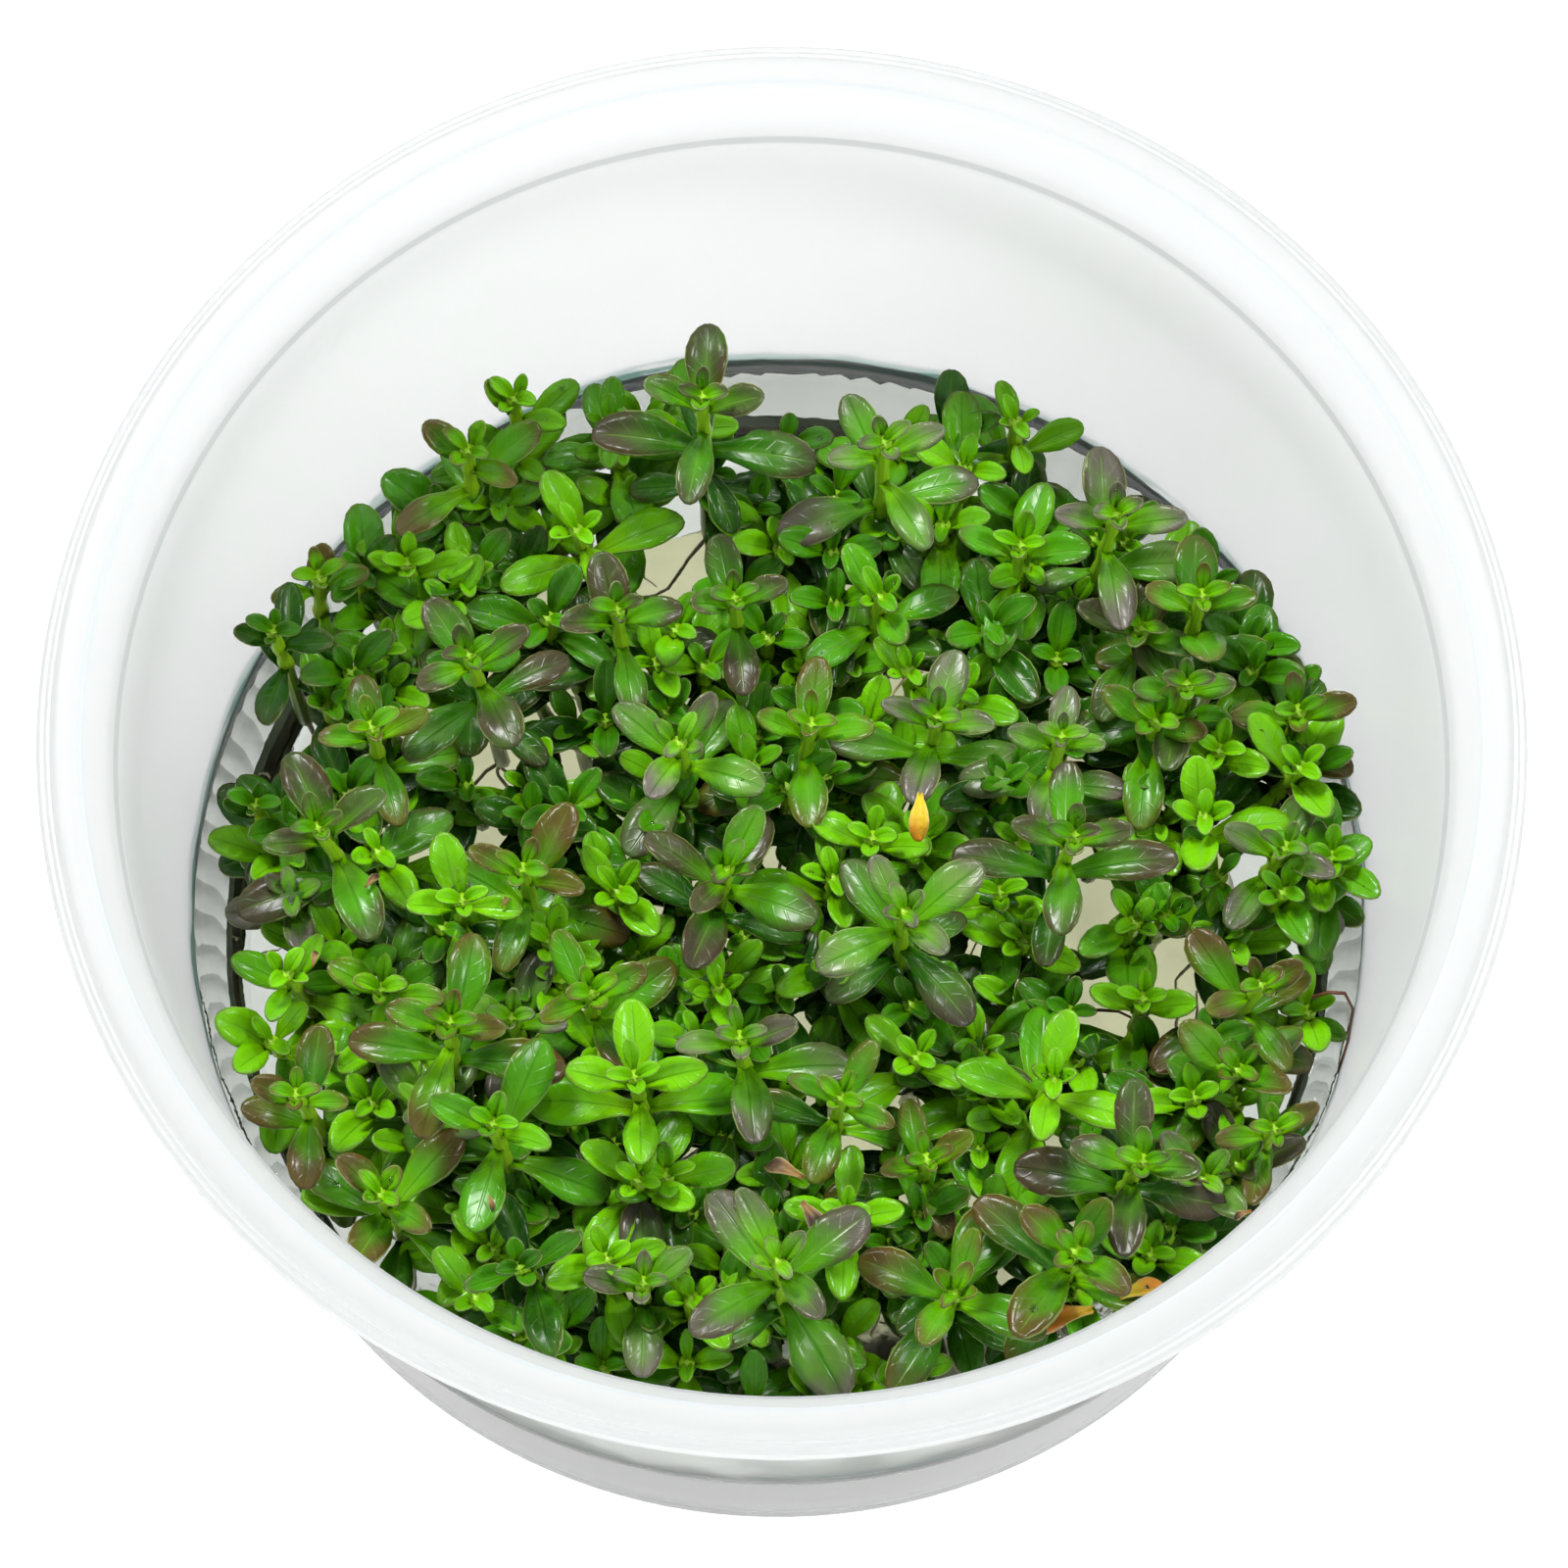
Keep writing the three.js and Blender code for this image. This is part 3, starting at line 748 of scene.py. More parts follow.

# %% [markdown]
# ## How each shoot is tinted
# Seen from above, some rosettes are fresh green and others blush purple, olive or brown from the leaf
# tips inwards. A few words per shoot hold that: age darkens the green, which is partly painted shade,
# blush says how far the tint reaches from the tip, rust turns it from purple to brown, and grey sheen
# makes it pale and greyish, mostly by a painted sheen.

# %% Name the tints
Tint = namedtuple("Tint", "age blush rust bloom")
TINTS = {
    "bright": Tint(0.05, 0.06, 0.6, 0.0),
    "green": Tint(0.38, 0.12, 0.5, 0.05),
    # The dark look is partly the green of old leaves and partly painted shade
    "dark": Tint(0.85, 0.1, 0.5, 0.0),
    "olive": Tint(0.4, 0.42, 1.0, 0.1),
    "brown": Tint(0.45, 0.6, 0.95, 0.1),
    "purple": Tint(0.5, 0.62, 0.15, 0.15),
    # Grey shoots get most of their grey from the painted sheen
    "grey": Tint(0.4, 0.5, 0.1, 0.7),
}
SHOOT_LOOKS = {
    "back": "olive olive bright bright bright green purple purple purple grey green bright green grey olive",
    "left": "dark purple brown purple dark bright olive bright brown brown",
    "middle": "bright grey olive grey brown purple grey purple grey olive grey bright grey",
    "right": "purple bright grey bright brown bright olive olive bright",
    "front": "green olive dark bright olive brown purple olive olive grey bright",
}


def look_of(name):
    row, number = name.split("_shoot_")
    return SHOOT_LOOKS[row].split()[int(number) - 1]


# %% [markdown]
# ## Dressing the shoots
# All leaves of a shoot and its stem become one mesh that stands for the shoot's solid. The corners carry
# the tint and the place on the leaf, and the materials read them.

# %% Gather one shoot into a mesh
FIELDS = ("age", "blush", "rust", "bloom", "luck", "under")


class Gathering:
    """Corners, faces and their values, collected leaf by leaf into one mesh."""

    def __init__(self):
        self.corners = []
        self.faces = []
        self.uv = []
        self.values = []
        self.slots = []
        self.count = 0

    def take(self, corners, faces, uv, values, slot):
        self.corners.append(corners)
        self.faces += [tuple(index + self.count for index in face) for face in faces]
        self.uv.append(uv)
        self.values.append(values)
        self.slots += [slot] * len(faces)
        self.count += len(corners)

    def build(self, name, materials):
        mesh = bpy.data.meshes.new(name)
        mesh.from_pydata(np.concatenate(self.corners).tolist(), [], self.faces)
        uv = np.concatenate(self.uv)
        loops = np.empty(len(mesh.loops), dtype=np.int32)
        mesh.loops.foreach_get("vertex_index", loops)
        mesh.uv_layers.new(name="leaf").data.foreach_set("uv", uv[loops].ravel())
        values = np.concatenate(self.values)
        for column, field in enumerate(FIELDS):
            layer = mesh.attributes.new(field, "FLOAT", "POINT")
            layer.data.foreach_set("value", values[:, column].copy())
        for material in materials:
            mesh.materials.append(material)
        mesh.polygons.foreach_set("material_index", self.slots)
        smooth(mesh)
        mesh.update()
        piece = bpy.data.objects.new(name, mesh)
        bpy.context.scene.collection.objects.link(piece)
        return piece


leaf_uv = np.stack([along_leaf, share_across * 0.5 + 0.5], axis=1)
leaf_under = (leaf_blank.corners[:, 2] < -0.02 * MM - LEAF_FOLD * (np.abs(share_across) < 0.2)) * 1.0


def gather_leaf(gathering, leaf, tint, cup=None):
    if cup is None:
        cup = rng.uniform(0.12, 0.36) if leaf.rank < 2 else rng.uniform(0.02, 0.24)
    corners = lay_leaf(leaf, cup, rng.uniform(-0.03, 0.03), rng.uniform(-0.35, 0.35),
                       rng.uniform(-0.1, 0.5), rng.uniform(0.02, 0.08))
    values = np.zeros((len(corners), len(FIELDS)))
    values[:, :4] = tint
    values[:, 4] = rng.uniform()
    values[:, 5] = leaf_under
    gathering.take(corners, leaf_blank.faces, leaf_uv, values, 0)


# How much of its tint a leaf shows, from the tip of the shoot down
FADING = (0.75, 1.0, 0.95, 0.75, 0.35, 0.2, 0.1)


def age_tint(tint, rank):
    """Lower leaves are older and keep less of the blush; their darker green is partly painted shade deep in
    the stand.
    """
    older = min(1.0, max(0.0, tint.age + 0.17 * (rank - 1) + rng.uniform(-0.12, 0.12)))
    fade = FADING[min(rank, len(FADING) - 1)]
    blush = max(0.0, tint.blush * fade * rng.uniform(0.45, 1.35))
    return Tint(older, blush, tint.rust, tint.bloom * fade * rng.uniform(0.5, 1.2))


def gather_stem(gathering, joints, tint):
    line = np.array([list(joint) for joint in joints])[::-1]
    steps = np.concatenate([[0], np.cumsum(np.linalg.norm(np.diff(line, axis=0), axis=1))])
    height = ring_blank.corners[:, 2] / (STEM_RINGS * MM)
    spot = height * steps[-1]
    middle = np.stack([np.interp(spot, steps, line[:, axis]) for axis in range(3)], axis=1)
    knot = np.exp(-((spot[:, None] - steps[None, 1:]) / (0.55 * MM)) ** 2).max(axis=1)
    taper = 0.95 - 0.3 * height + 0.28 * knot
    corners = middle.copy()
    corners[:, 0] += ring_blank.corners[:, 0] * taper
    corners[:, 1] += ring_blank.corners[:, 1] * taper
    around = np.arctan2(ring_blank.corners[:, 1], ring_blank.corners[:, 0]) / (2 * math.pi) + 0.5
    values = np.zeros((len(corners), len(FIELDS)))
    values[:, :4] = tint
    values[:, 4] = rng.uniform()
    gathering.take(corners, ring_blank.faces, np.stack([height, around], axis=1), values, 1)


def gather_shoot(gathering, shoot, tint):
    for leaf in shoot.leaves:
        gather_leaf(gathering, leaf, age_tint(tint, leaf.rank))
    top = shoot.joints[0]
    gather_stem(gathering, [top + Vector((0, 0, 0.5 * MM))] + list(shoot.joints), tint)
    youngest = [leaf for leaf in shoot.leaves if leaf.rank == 0]
    heading = heading_of(youngest[0]) + math.pi / 2 if youngest else rng.uniform(0, 3)
    for turned in (0, math.pi):
        bud = grow_leaf(top + Vector((0, 0, 0.2 * MM)), heading + turned, rng.uniform(1.8, 2.5) * MM,
                        rng.uniform(1.1, 1.5) * MM, math.radians(62), math.radians(26), 0)
        root = bud.root.lerp(top, 0.7)
        gather_leaf(gathering, bud._replace(root=root), age_tint(tint, 0), 0.36)


# %% [markdown]
# ## The leaf surface
# A young leaf is a fresh yellow-green that darkens with age. The tint starts at the tip and creeps down
# the margins. A pale midrib with faint side veins runs through it, the underside is paler, and the
# smooth wet face gives the gloss. Highlights are painted into the colour too: yellow-green at the base of
# young leaves, a pale grey sheen over the outer half and a thin pale line along the edge. Some light
# passes through, so a green translucent share is mixed in, less of it where the leaf is tinted.

# %% Leaf material
def leaf_spot(g):
    """How far along the leaf a point lies, and how far aside from its midrib, each from 0 to 1."""
    along, over = g.leaf_map()
    return along, (over - 0.5).math("ABSOLUTE") * 2


def leaf_material():
    g = Graph("leaf_skin")
    along, aside = leaf_spot(g)
    field = {key: g.field(key) for key in FIELDS}
    place = g.place()
    blotch = g.noise(place, 260.0, 2.0)
    speck = g.noise(place, 1400.0, 1.0)
    age = field["age"] + (blotch - 0.5) * 0.45 + (field["luck"] - 0.5) * 0.2
    green = g.blend(age.rise(0.0, 0.5), (0.22, 0.7, 0.0), (0.08, 0.4, 0.0))
    green = g.blend(age.rise(0.45, 1.05), green, (0.009, 0.09, 0.0))
    # Painted highlight: the fold at the base of a young leaf is lightened to yellow-green
    base_highlight = (1 - along.rise(0.05, 0.6)) * (1 - age.rise(0.3, 0.95)) * 0.6
    green = g.blend(base_highlight, green, (0.34, 0.74, 0.0))
    ripe = g.blend(field["rust"], (0.034, 0.01, 0.018), (0.12, 0.036, 0.0))
    ripe = g.blend(blotch.rise(0.35, 0.7) * 0.4, ripe, (0.07, 0.08, 0.0))
    ripe = g.blend(aside.rise(0.5, 0.95) * 0.2, ripe, (0.12, 0.05, 0.015))
    reach = along + aside * aside * 0.2 + (blotch - 0.5) * 0.5
    start = 1.13 - field["blush"] * 1.05
    mask = (reach - start).rise(-0.26, 0.34) * (0.6 + blotch.rise(0.25, 0.6) * 0.34)
    colour = g.blend(mask, green, ripe)
    # Painted sheen: a pale grey-green reflection over the outer half of the leaf, along the middle of each
    # half, grey-purple where tinted
    blade = aside.rise(0.0, 0.25) * (1 - aside.rise(0.6, 0.95))
    sheen_spread = 0.2 + blotch.rise(0.3, 0.7) * 0.5 + blade * 0.5
    bloom = (field["bloom"] * 0.6 + 0.03) * along.rise(0.25, 0.7) * sheen_spread
    colour = g.blend(bloom, colour, g.blend(mask, (0.36, 0.44, 0.14), (0.28, 0.25, 0.25)))
    # Midrib and side veins
    rib = (1 - aside.rise(0.02, 0.09)) * (1 - along.rise(0.8, 1.0))
    beside = aside.rise(0.03, 0.08) * (1 - aside.rise(0.1, 0.34)) * (1 - along.rise(0.5, 0.95))
    slant = (along * 42 - aside * 9).math("SINE").rise(0.7, 1.0) * aside.rise(0.05, 0.3)
    colour = g.blend(beside * 0.12, colour, (0.3, 0.66, 0.08))
    rib_tone = g.blend(field["luck"].rise(0.45, 0.6), (0.015, 0.13, 0.0), (0.3, 0.6, 0.1))
    colour = g.blend(rib * 0.26, colour, rib_tone)
    colour = g.blend(slant * 0.05, colour, (0.2, 0.42, 0.06))
    # A dark hairline of the tint just inside the margin, and a painted highlight along the very edge
    margin = aside.rise(0.7, 0.9) * (0.02 + field["blush"] * 0.22) * along.rise(0.2, 0.6)
    colour = g.blend(margin, colour, ripe)
    # Painted highlight: a thin pale line, broken up by noise, along the leaf's edge
    edge = aside.rise(0.92, 0.985) * g.noise(place, 420.0).rise(0.42, 0.62)
    colour = g.blend(edge * 0.5, colour, (0.55, 0.68, 0.22))
    pale = g.blend(field["bloom"], (0.16, 0.3, 0.07), (0.36, 0.3, 0.3))
    colour = g.blend(field["under"] * 0.6, colour, pale)
    colour = g.blend(speck.rise(0.62, 0.75) * 0.12, colour, (0.3, 0.42, 0.16))
    uneven = g.noise(place, 330.0, 0.0)
    bump_height = rib * -0.4 + slant * 0.12 + uneven * 0.7
    bump = g.bump(0.35, 0.0004, bump_height)
    shader = g.surface({
        "Base Color": colour,
        "Roughness": 0.17 + speck * 0.12 + field["under"] * 0.25,
        "IOR": 1.38,
        "Specular IOR Level": 0.5,
        "Normal": bump,
    })
    glow = g.glow((0.3, 0.6, 0.0))
    return g.finish(g.mix(0.11 - mask * 0.07, shader, glow))


# %% Stem material
def stem_material():
    g = Graph("stem_skin")
    height, around = g.leaf_map()
    rust = g.field("rust")
    grain = g.noise(g.place(), 700.0)
    colour = g.blend(height.rise(0.2, 0.75), (0.14, 0.32, 0.004), (0.42, 0.82, 0.01))
    colour = g.blend((1 - height) * rust * 0.35 + (grain - 0.5) * 0.25, colour, (0.24, 0.12, 0.03))
    # Eight ribs go round the stem
    ribs = (around * 50.27).math("SINE").rise(-0.2, 1.0)
    colour = g.blend(ribs * 0.2, colour, (0.3, 0.46, 0.12))
    bump = g.bump(0.3, 0.0002, ribs + grain * 0.4)
    return g.finish(g.surface({
        "Base Color": colour,
        "Roughness": 0.32 + grain * 0.15,
        "Coat Weight": 0.4,
        "Coat Roughness": 0.12,
        "Normal": bump,
    }))


PLANT_SKINS = (leaf_material(), stem_material())

# %% [markdown]
# Each side shoot joins the piece of the nearest main shoot, so that every piece stands for one solid.

# %% Build the plant pieces
def ground(shoot):
    return shoot.joints[-1].xy


neighbours = {shoot.name: [] for shoot in shoots}
for look, side_shoot in side_shoots:
    nearest = min(shoots, key=lambda shoot: (ground(shoot) - ground(side_shoot)).length)
    neighbours[nearest.name].append((look, side_shoot))

plant_pieces = []
for shoot in shoots:
    gathering = Gathering()
    gather_shoot(gathering, shoot, TINTS[look_of(shoot.name)])
    for look, side_shoot in neighbours[shoot.name]:
        gather_shoot(gathering, side_shoot, TINTS[look])
    piece = gathering.build(f"{shoot.name}_plant", PLANT_SKINS)
    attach(piece, "root")
    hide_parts(shoot.name)
    plant_pieces.append(piece)
print("plant faces:", sum(len(piece.data.polygons) for piece in plant_pieces))

# %% [markdown]
# ## The cup
# The cup is thin milky polypropylene, moulded in one shot. Its section is drawn once, as radius and
# height, and a ring is extruded along it: up the outside, round the rim with its fine ridges, and down
# the inside to the floor. That is how a turned section is made by hand, and it keeps the rings clean.

# %% Turn the cup
CUP_SIDES = 144
SECTION = (
    (37.5, 0), (38.0, 0.12), (38.3, 0.8), (39.4, 8), (42.0, 24), (44.2, 40), (45.6, 48.4),
    (46.0, 49.4), (46.9, 50.55), (48.6, 50.8), (49.4, 50.8), (49.85, 50.95), (50, 51.3),
    (50, 52.35), (49.75, 52.6), (49.5, 52.55), (49.3, 52.75), (49.1, 52.7), (48.9, 53.1),
    (48.6, 53.28), (47.9, 53.2), (47.2, 53.28), (46.95, 53.2), (46.8, 52.8), (46.2, 51.4),
    (45.5, 49.8), (45.0, 48.75), (44.86, 48.5), (44.62, 48.3), (44.45, 47.4), (42.65, 34.7), (40.7, 22),
    (38.9, 10), (37.75, 2.6), (37.2, 1.5), (36.2, 1.0), (30, 1.0), (20, 1.0), (8, 1.0),
)


def ring_to(radius, height, before):
    """Extrude the selected ring and move it to a new radius and height."""
    bpy.ops.mesh.extrude_edges_move(TRANSFORM_OT_translate={"value": (0, 0, (height - before[1]) * MM)})
    factor = radius / before[0]
    bpy.ops.transform.resize(value=(factor, factor, 1), center_override=(0, 0, height * MM))


deselect()
bpy.ops.mesh.primitive_circle_add(vertices=CUP_SIDES, radius=SECTION[0][0] * MM, fill_type="NOTHING")
cup = bpy.context.object
cup.name = "cup_shell"
start_edit(cup)
bpy.ops.mesh.select_mode(type="EDGE")
bpy.ops.mesh.select_all(action="SELECT")
for before, (radius, height) in zip(SECTION, SECTION[1:]):
    ring_to(radius, height, before)
bpy.ops.mesh.edge_face_add()
pick(cup, lambda co: abs(co.z) < 0.001 * MM and abs(co.xy.length - SECTION[0][0] * MM) < 0.01 * MM)
bpy.ops.mesh.edge_face_add()
bpy.ops.mesh.inset(thickness=3 * MM)
bpy.ops.transform.translate(value=(0, 0, 0.35 * MM))
bpy.ops.mesh.select_all(action="SELECT")
bpy.ops.mesh.normals_make_consistent(inside=False)
end_edit()
bpy.ops.object.shade_smooth_by_angle(angle=math.radians(42))
print("cup faces:", len(cup.data.polygons))


# %% Cup plastic
def cup_material():
    g = Graph("milky_plastic")
    place = g.place()
    cloud = g.noise(place, 34.0, 3.0)
    grain = g.noise(place, 2600.0, 2.0)
    flow = g.noise(place, 130.0, 4.0, 0.6)
    colour = g.blend(cloud, (0.93, 0.95, 0.95), (0.965, 0.97, 0.97))
    bump = g.bump(0.12, 0.0003, flow + grain * 0.2)
    x, y, height = g.parts(place)
    radius = (x ** 2 + y ** 2) ** 0.5
    inside = 1 - radius.rise(45.15 * MM, 45.25 * MM)
    # Painted shade: a grey line on the inner ledge, where the step looks dark
    ledge_shade = height.rise(48.05 * MM, 48.3 * MM) * (1 - height.rise(48.5 * MM, 48.65 * MM)) * inside
    colour = g.blend(ledge_shade * 0.75, colour, (0.3, 0.33, 0.33))
    # Painted shade: a pale blue-grey line along the inner edge of the crest, near its top
    crest = radius.rise(46.6 * MM, 46.85 * MM) * (1 - radius.rise(47.15 * MM, 47.4 * MM))
    # The gel's wet edge climbs the wall, here low and there high, and painted dark green reflections and
    # white highlights run along it in streaks
    along_wall = g.add("ShaderNodeVectorMath", {"operation": "MULTIPLY"}, {0: place, 1: (1, 1, 6)})
    streak = g.noise(along_wall, 110.0, 3.0)
    climb = height - GEL_TOP - g.noise(place, 60.0).rise(0.45, 0.7) * 2.4 * MM
    waterline = (height - GEL_TOP).rise(-0.4 * MM, 0.2 * MM) * (1 - climb.rise(1.0 * MM, 1.4 * MM)) * inside
    colour = g.blend(waterline * streak.rise(0.32, 0.44), colour, (0.06, 0.2, 0.15))
    colour = g.blend(waterline * streak.rise(0.56, 0.62), colour, (1, 1, 1))
    # Painted shade: the flange and rim are greyed so that their lamp-lit tops don't glare
    flange = radius.rise(44.95 * MM, 45.6 * MM)
    colour = g.blend(flange, colour, (0.83, 0.845, 0.85))
    colour = g.blend(crest * height.rise(52 * MM, 52.6 * MM) * 0.8, colour, (0.64, 0.76, 0.84))
    dry = height.rise(GEL_TOP - 2 * MM, GEL_TOP + 1 * MM)
    foot = 1 - height.rise(1.5 * MM, 4 * MM)
    shell = g.surface({
        "Base Color": colour,
        "Roughness": 0.16 + dry * 0.14 + cloud * 0.08,
        "Transmission Weight": 0.92,
        "IOR": 1.49,
        "Normal": bump,
    })
    glow = g.glow((0.97, 0.98, 0.98))
    milky = 0.14 + foot * 0.2 + dry * 0.3 - waterline * 0.3 + flange * 0.16
    return g.finish(g.mix(milky, shell, glow))


cup.data.materials.append(cup_material())
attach(cup, "root")
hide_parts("cup")

# %% [markdown]
# ## The gel
# The nutrient gel is clear and slightly cream, and it fills the bottom of the cup. Its top is wet and
# uneven where stems push through, and it climbs the wall a little. A disc is extruded upwards and
# widened with the cup, and many rings are inset in its top, which smooth noise then moves up and down.

# %% Raise a round block
def raise_block(name, sides, radius, low, high, widening):
    """A round block between two heights, left in edit mode with its top face selected."""
    deselect()
    bpy.ops.mesh.primitive_circle_add(vertices=sides, radius=radius, fill_type="NGON", location=(0, 0, low))
    block = bpy.context.object
    block.name = name
    bpy.ops.object.transform_apply(location=True, rotation=False, scale=False)
    start_edit(block)
    bpy.ops.mesh.select_all(action="SELECT")
    bpy.ops.mesh.extrude_region_move(TRANSFORM_OT_translate={"value": (0, 0, high - low)})
    bpy.ops.transform.resize(value=(widening, widening, 1), center_override=(0, 0, high))
    return block


# %% Shape the gel
GEL_SIDES = 120
# Near the wall each ring's radius is a share of the one outside it, and further in all are equally wide
RIM_ZONE = 0.94
RIM_SHRINK = 0.965
INNER_RING = 1.1 * MM
LAST_RADIUS = 1.2 * MM
gel_floor = CUP_FLOOR + 0.1 * MM
gel_lowest = CUP_FLOOR_RADIUS - 0.6 * MM
gel_rim = wall_radius(GEL_TOP) + 0.1 * MM
gel = raise_block("gel_body", GEL_SIDES, gel_lowest, gel_floor, GEL_TOP, gel_rim / gel_lowest)
radius = gel_rim
while radius > LAST_RADIUS:
    near_rim = radius > RIM_ZONE * gel_rim
    step = radius * (1 - RIM_SHRINK) if near_rim else INNER_RING
    bpy.ops.mesh.inset(thickness=step)
    radius -= step
end_edit()


def gel_height(spot):
    """How far the wet top stands above its level at a place: ripples and a climb at the wall."""
    wide = noise.noise(Vector((spot.x, spot.y, 0)) / (5.5 * MM)) * 0.5
    fine = noise.noise(Vector((spot.x, spot.y, 0.02)) / (1.9 * MM)) * 0.16
    climb = math.exp(-(gel_rim - spot.xy.length) / (0.9 * MM))
    climb *= 1.3 + noise.noise(Vector((spot.x, spot.y, 0.7)) / (14 * MM))
    return (wide + fine + climb - 0.25) * MM


for corner in gel.data.vertices:
    if corner.co.z > GEL_TOP - 0.01 * MM:
        risen = GEL_TOP + gel_height(corner.co)
        spread = wall_radius(risen) / wall_radius(GEL_TOP)
        corner.co = (corner.co.x * spread, corner.co.y * spread, risen)
smooth(gel.data)
print("gel faces:", len(gel.data.polygons))


# %% Gel material
def gel_material():
    g = Graph("clear_gel")
    place = g.place()
    ripple = g.noise(place, 420.0, 3.0, 0.55)
    film = g.noise(place, 90.0, 2.0)
    bump = g.bump(0.2, 0.0005, ripple * 0.5 + film)
    surface = g.surface({
        "Base Color": (1, 1, 1),
        "Roughness": 0.03 + film * 0.05,
        "Transmission Weight": 1.0,
        "IOR": 1.34,
        "Normal": bump,
    })
    volume = g.add("ShaderNodeVolumeAbsorption", None, {"Color": (0.82, 0.9, 0.77), "Density": 40.0})
    return g.finish(surface, volume)


gel.data.materials.append(gel_material())
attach(gel, "root")
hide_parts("gel")

# %% [markdown]
# Low in the gel lies a cloudy cream layer of nutrient. It shows in the gaps between the leaves, and the
# clear gel stands over it and round it. It is a flat round block with an inset, uneven top.

# %% Shape the cream layer
CREAM_RADIUS = 32 * MM
CREAM_BOTTOM = 1.6 * MM
CREAM_TOP = 8.5 * MM
CREAM_SIDES = 72
CREAM_RINGS = 16
CREAM_STEP = 1.9 * MM
cream = raise_block("cream_layer", CREAM_SIDES, CREAM_RADIUS, CREAM_BOTTOM, CREAM_TOP, 0.97)
for _ in range(CREAM_RINGS):
    bpy.ops.mesh.inset(thickness=CREAM_STEP)
end_edit()
for corner in cream.data.vertices:
    if corner.co.z > CREAM_BOTTOM + 1 * MM:
        swell = noise.noise(Vector((corner.co.x, corner.co.y, 0.3)) / (7 * MM))
        corner.co.z += 1.8 * MM * swell
    ragged = 1 + 0.03 * noise.noise(Vector((corner.co.x, corner.co.y, corner.co.z)) / (6 * MM))
    corner.co.x *= ragged
    corner.co.y *= ragged
smooth(cream.data)


# %% Cream material
def cream_material():
    g = Graph("cloudy_gel")
    place = g.place()
    cloud = g.noise(place, 160.0, 4.0, 0.6)
    streak = g.noise(place, 420.0, 3.0)
    colour = g.blend(cloud.rise(0.3, 0.7), (0.95, 0.9, 0.62), (0.84, 0.76, 0.42))
    bump = g.bump(0.4, 0.0006, cloud + streak * 0.4)
    clear = g.surface({
        "Base Color": (1, 0.96, 0.66),
        "Roughness": 0.3,
        "Transmission Weight": 1.0,
        "IOR": 1.06,
        "Normal": bump,
    })
    body = g.surface({
        "Base Color": colour,
        "Roughness": 0.45 + streak * 0.2,
        "Normal": bump,
    })
    return g.finish(g.mix(0.03 + cloud.rise(0.4, 0.75) * 0.16, clear, body))


cream.data.materials.append(cream_material())
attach(cream, "root")

# %% [markdown]
# ## Roots
# Thin pale roots hang from the foot of every main shoot into the gel. Each is one curve turned into a thin
# tube.

# %% Grow the roots
ROOTS_PER_SHOOT = 3
ROOT_POINTS = 9
ROOT_STEP = 1.5 * MM
ROOT_MARGIN = 1.2 * MM


def thin_tube(name, lines, thickness):
    """Tubes along lines of places, as one mesh, by bevelled curves."""
    path = bpy.data.curves.new(name, "CURVE")
    path.dimensions = "3D"
    path.bevel_depth = thickness / 2
    path.bevel_resolution = 0
    path.use_fill_caps = True
    for line in lines:
        spline = path.splines.new("POLY")
        spline.points.add(len(line) - 1)
        for number, (point, spot) in enumerate(zip(spline.points, line)):
            point.co = (*spot, 1)
            point.radius = 1 - 0.5 * number / len(line)
    thing = bpy.data.objects.new(name, path)
    bpy.context.scene.collection.objects.link(thing)
    deselect()
    thing.select_set(True)
    bpy.context.view_layer.objects.active = thing
    bpy.ops.object.convert(target="MESH")
    made = bpy.context.object
    smooth(made.data)
    return made


def root_line(foot):
    spot = np.array(foot)
    way = np.array([rng.uniform(-1, 1), rng.uniform(-1, 1), -1.3])
    line = [spot.copy()]
    while len(line) < ROOT_POINTS:
        way = way + rng.uniform(-0.7, 0.7, 3) * (1, 1, 0.3)
        spot = spot + way / np.linalg.norm(way) * ROOT_STEP
        spot[2] = max(spot[2], CUP_FLOOR + 0.6 * MM)
        out = math.hypot(spot[0], spot[1])
        if out > wall_radius(spot[2]) - ROOT_MARGIN:
            break
        line.append(spot.copy())
    return line


root_lines = []
for shoot in shoots:
    for _ in range(ROOTS_PER_SHOOT):
        line = root_line(shoot.joints[-1])
        if len(line) > 3:
            root_lines.append(line)
roots = thin_tube("gel_roots", root_lines, 0.32 * MM)
print("roots:", len(root_lines))


# %% Root material
def root_material():
    g = Graph("root_skin")
    tone = g.noise(g.place(), 240.0, 3.0)
    bump = g.bump(0.2, 0.0002, tone)
    return g.finish(g.surface({
        "Base Color": g.blend(tone.rise(0.35, 0.7), (0.8, 0.76, 0.55), (0.6, 0.5, 0.3)),
        "Roughness": 0.5 + tone * 0.2,
        "Normal": bump,
    }))


roots.data.materials.append(root_material())
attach(roots, "root")

# %% [markdown]
# ## Withered leaves
# A few leaves are dead: some have turned yellow and orange, some are brown, and small tan scraps lie
# about. They are the same leaf blank, laid with more wave and curl. Each one lies where the camera's
# line of sight to its place in the photograph first comes near a plant, and stays inside the wall.

# %% Lay the withered leaves
# Across, back and height in mm, heading in degrees, length in mm, tone from yellow (0) to brown (1)
WITHERED = ((9.5, 7.3, 23, 268, 3.6, 0.1), (22.3, -29.6, 23, 200, 4.2, 0.3),
            (23.2, -29.2, 23.4, 20, 3.4, 0.15), (1.8, -20.6, 18.5, 300, 3.6, 1.0),
            (2.6, -19.4, 18.2, 160, 3, 0.9))
# Scraps: across, back and height in mm
SCRAPS = ((-28.4, -0.9, 22), (-19.0, -1.5, 20), (-19.2, -21.1, 20), (32.9, -21.3, 20), (-31.6, -5.4, 18))
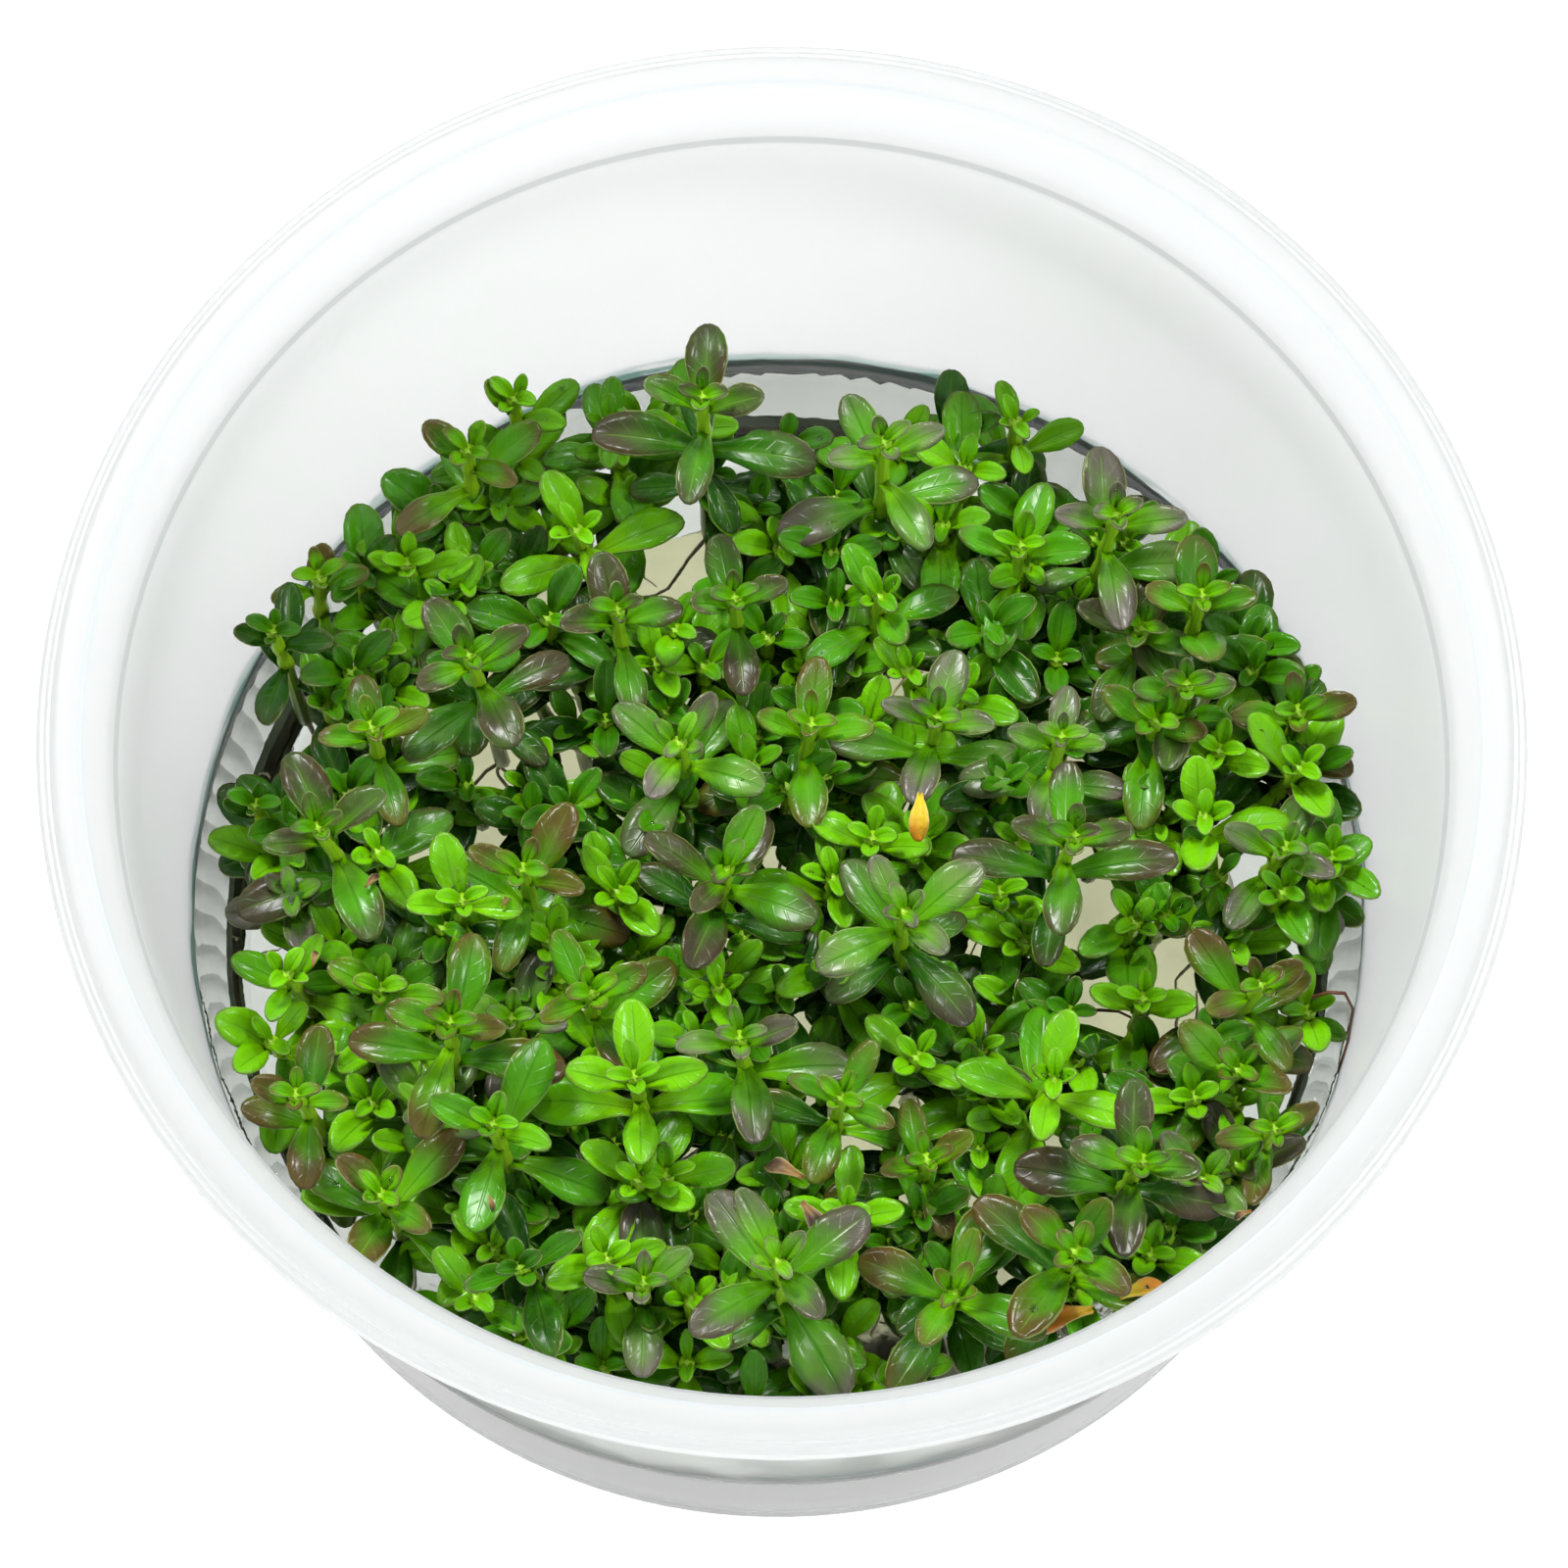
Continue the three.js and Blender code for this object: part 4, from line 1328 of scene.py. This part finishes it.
# How near the sight line comes to a plant, and how far inside the wall the place is, in mm
LEAF_REST = (1.0, 2.2)
SCRAP_REST = (1.2, 0.6)
ABOVE_PLANT = 0.4 * MM
DRY_WIDTH = 0.46


def seen_at(spot, within, margin):
    """Where the camera's line of sight to a spot first comes near a plant, a margin inside the wall."""
    held = taken[:taken_count]
    sight = np.array(ahead)
    start = np.array(spot) * MM
    depth = (held - start) @ sight
    places = start + depth[:, None] * sight
    near = np.linalg.norm(held - places, axis=1) < within * MM
    near &= np.hypot(places[:, 0], places[:, 1]) < wall_radius(places[:, 2]) - margin * MM
    return start + sight * (depth[near].min() - ABOVE_PLANT)


dry_leaves = Gathering()


def lay_dry(root, heading, length, lift, tone, wave):
    leaf = grow_leaf(Vector(root), math.radians(heading), length * MM, length * DRY_WIDTH * MM,
                     math.radians(lift), math.radians(40), 0)
    corners = lay_leaf(leaf, 0.2, wave, rng.uniform(-0.6, 0.6), 0.7, 0.08)
    values = np.zeros((len(corners), len(FIELDS)))
    values[:, 2] = tone
    dry_leaves.take(corners, leaf_blank.faces, leaf_uv, values, 0)


for x, y, z, heading, length, tone in WITHERED:
    lay_dry(seen_at((x, y, z), *LEAF_REST), heading, length, 8, tone, 0.1)
for spot in SCRAPS:
    lay_dry(seen_at(spot, *SCRAP_REST), rng.uniform(0, 360), rng.uniform(0.9, 1.5), 4, 0.9, 0.2)


# %% Withered material
def dry_material():
    g = Graph("dry_leaf")
    along, aside = leaf_spot(g)
    tone = g.field("rust")
    blotch = g.noise(g.place(), 700.0, 3.0)
    age = tone + (blotch - 0.5) * 0.5 + along * 0.45 - 0.2
    colour = g.blend(age.rise(0.0, 0.4), (0.8, 0.6, 0.02), (0.8, 0.26, 0.01))
    colour = g.blend(age.rise(0.5, 0.8), colour, (0.34, 0.2, 0.06))
    colour = g.blend(age.rise(0.8, 1.1), colour, (0.06, 0.035, 0.02))
    colour = g.blend(aside.rise(0.8, 0.97) * 0.5, colour, (0.8, 0.66, 0.3))
    bump = g.bump(0.6, 0.0005, blotch)
    return g.finish(g.surface({
        "Base Color": colour,
        "Roughness": 0.42 + blotch * 0.2,
        "Normal": bump,
    }))


withered = dry_leaves.build("withered_leaves", (dry_material(),))
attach(withered, "root")
print("withered leaves:", len(WITHERED) + len(SCRAPS))

# %% [markdown]
# ## Threads
# One red-brown root arches through the air on the right and dips into the gel, a brown twig lies in a
# gap, and a pale hair crosses the leaves behind the middle. They are thin tubes as the roots are.

# %% Lay the threads
# Places in mm, from one end to the other
AIR_ROOT = ((36.6, -7.2, 23), (37.6, -7.2, 24), (38.7, -7.3, 24.2), (39.3, -8, 23), (39.1, -9.2, 20),
            (38.6, -10.4, 17.5), (38.2, -11.4, 15.5), (37.8, -12, 13))
TWIG = ((19.6, -7.1, 17.4), (20.8, -6.9, 18), (22.2, -6.9, 18.2), (23.4, -6.9, 18), (24.4, -7.1, 17.2))
HAIR = ((7.0, 12.2, 25.6), (7.5, 12.9, 26.2), (8.1, 13.6, 26.6), (8.8, 14.1, 26.8), (9.5, 14.4, 26.4))


def in_metres(line):
    return [tuple(value * MM for value in spot) for spot in line]


THREAD_THICK = 0.3 * MM
HAIR_THICK = 0.22 * MM
threads = thin_tube("threads", [in_metres(AIR_ROOT), in_metres(TWIG)], THREAD_THICK)
hair = thin_tube("pale_hair", [in_metres(HAIR)], HAIR_THICK)


# %% Thread material
def thread_material(name, dark, light):
    g = Graph(name)
    tone = g.noise(g.place(), 300.0, 3.0)
    return g.finish(g.surface({
        "Base Color": g.blend(tone.rise(0.35, 0.7), dark, light),
        "Roughness": 0.35 + tone * 0.2,
    }))


threads.data.materials.append(thread_material("thread_skin", (0.12, 0.035, 0.012), (0.2, 0.09, 0.03)))
hair.data.materials.append(thread_material("hair_skin", (0.42, 0.34, 0.1), (0.62, 0.56, 0.24)))
for thread in (threads, hair):
    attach(thread, "root")

# %% [markdown]
# ## Water drops
# Everything in the cup is wet, and small drops sit on the leaves. One drop is a small sphere whose
# lower half is cut off and closed. It is copied to many places, turned to stand on its leaf.

# %% Shape the drop
DROP_CUT = 0.1 * MM
DROP_FLATNESS = 0.75
deselect()
bpy.ops.mesh.primitive_ico_sphere_add(subdivisions=2, radius=1 * MM)
drop = bpy.context.object
start_edit(drop)
bpy.ops.mesh.select_all(action="SELECT")
bpy.ops.mesh.bisect(plane_co=(0, 0, DROP_CUT), plane_no=(0, 0, 1), use_fill=True, clear_inner=True)
bpy.ops.mesh.select_all(action="SELECT")
bpy.ops.transform.translate(value=(0, 0, -DROP_CUT))
bpy.ops.transform.resize(value=(1, 1, DROP_FLATNESS), center_override=(0, 0, 0))
end_edit()
drop_blank = Blank(drop)


def lay_drop(gathering, spot, way, size):
    """One drop on a surface: where, the way that the surface faces, and the drop's radius."""
    turn = Vector((0, 0, 1)).rotation_difference(Vector(way)).to_matrix()
    corners = drop_blank.corners @ np.array(turn).T * (size / MM) + np.array(spot)
    flat = np.zeros((len(corners), 2))
    gathering.take(corners, drop_blank.faces, flat, np.zeros((len(corners), len(FIELDS))), 0)


# %% Scatter the drops
drops = Gathering()
DROPS_ON_LEAVES = 700
all_leaves = [leaf for shoot in shoots for leaf in shoot.leaves]
for _, shoot in side_shoots:
    all_leaves += shoot.leaves
for _ in range(DROPS_ON_LEAVES):
    leaf = all_leaves[rng.integers(len(all_leaves))]
    broad = (leaf.left + leaf.right) / 2
    spot = leaf.root.lerp(broad, rng.uniform(0.5, 1)).lerp(leaf.tip, rng.uniform(0, 0.5))
    spot = spot + (leaf.left - leaf.right) * rng.uniform(-0.3, 0.3)
    facing = (leaf.tip - leaf.root).cross(leaf.left - leaf.right).normalized()
    lay_drop(drops, spot + facing * 0.12 * MM, facing, (0.09 + 0.25 * rng.uniform() ** 2) * MM)


# %% Water material
def water_material():
    g = Graph("clean_water")
    film = g.noise(g.place(), 300.0)
    return g.finish(g.surface({
        "Base Color": (1, 1, 1),
        "Roughness": film * 0.04,
        "Transmission Weight": 1.0,
        "IOR": 1.33,
    }))


water_drops = drops.build("water_drops", (water_material(),))
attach(water_drops, "root")
print("drops:", DROPS_ON_LEAVES, "faces:", len(water_drops.data.polygons))
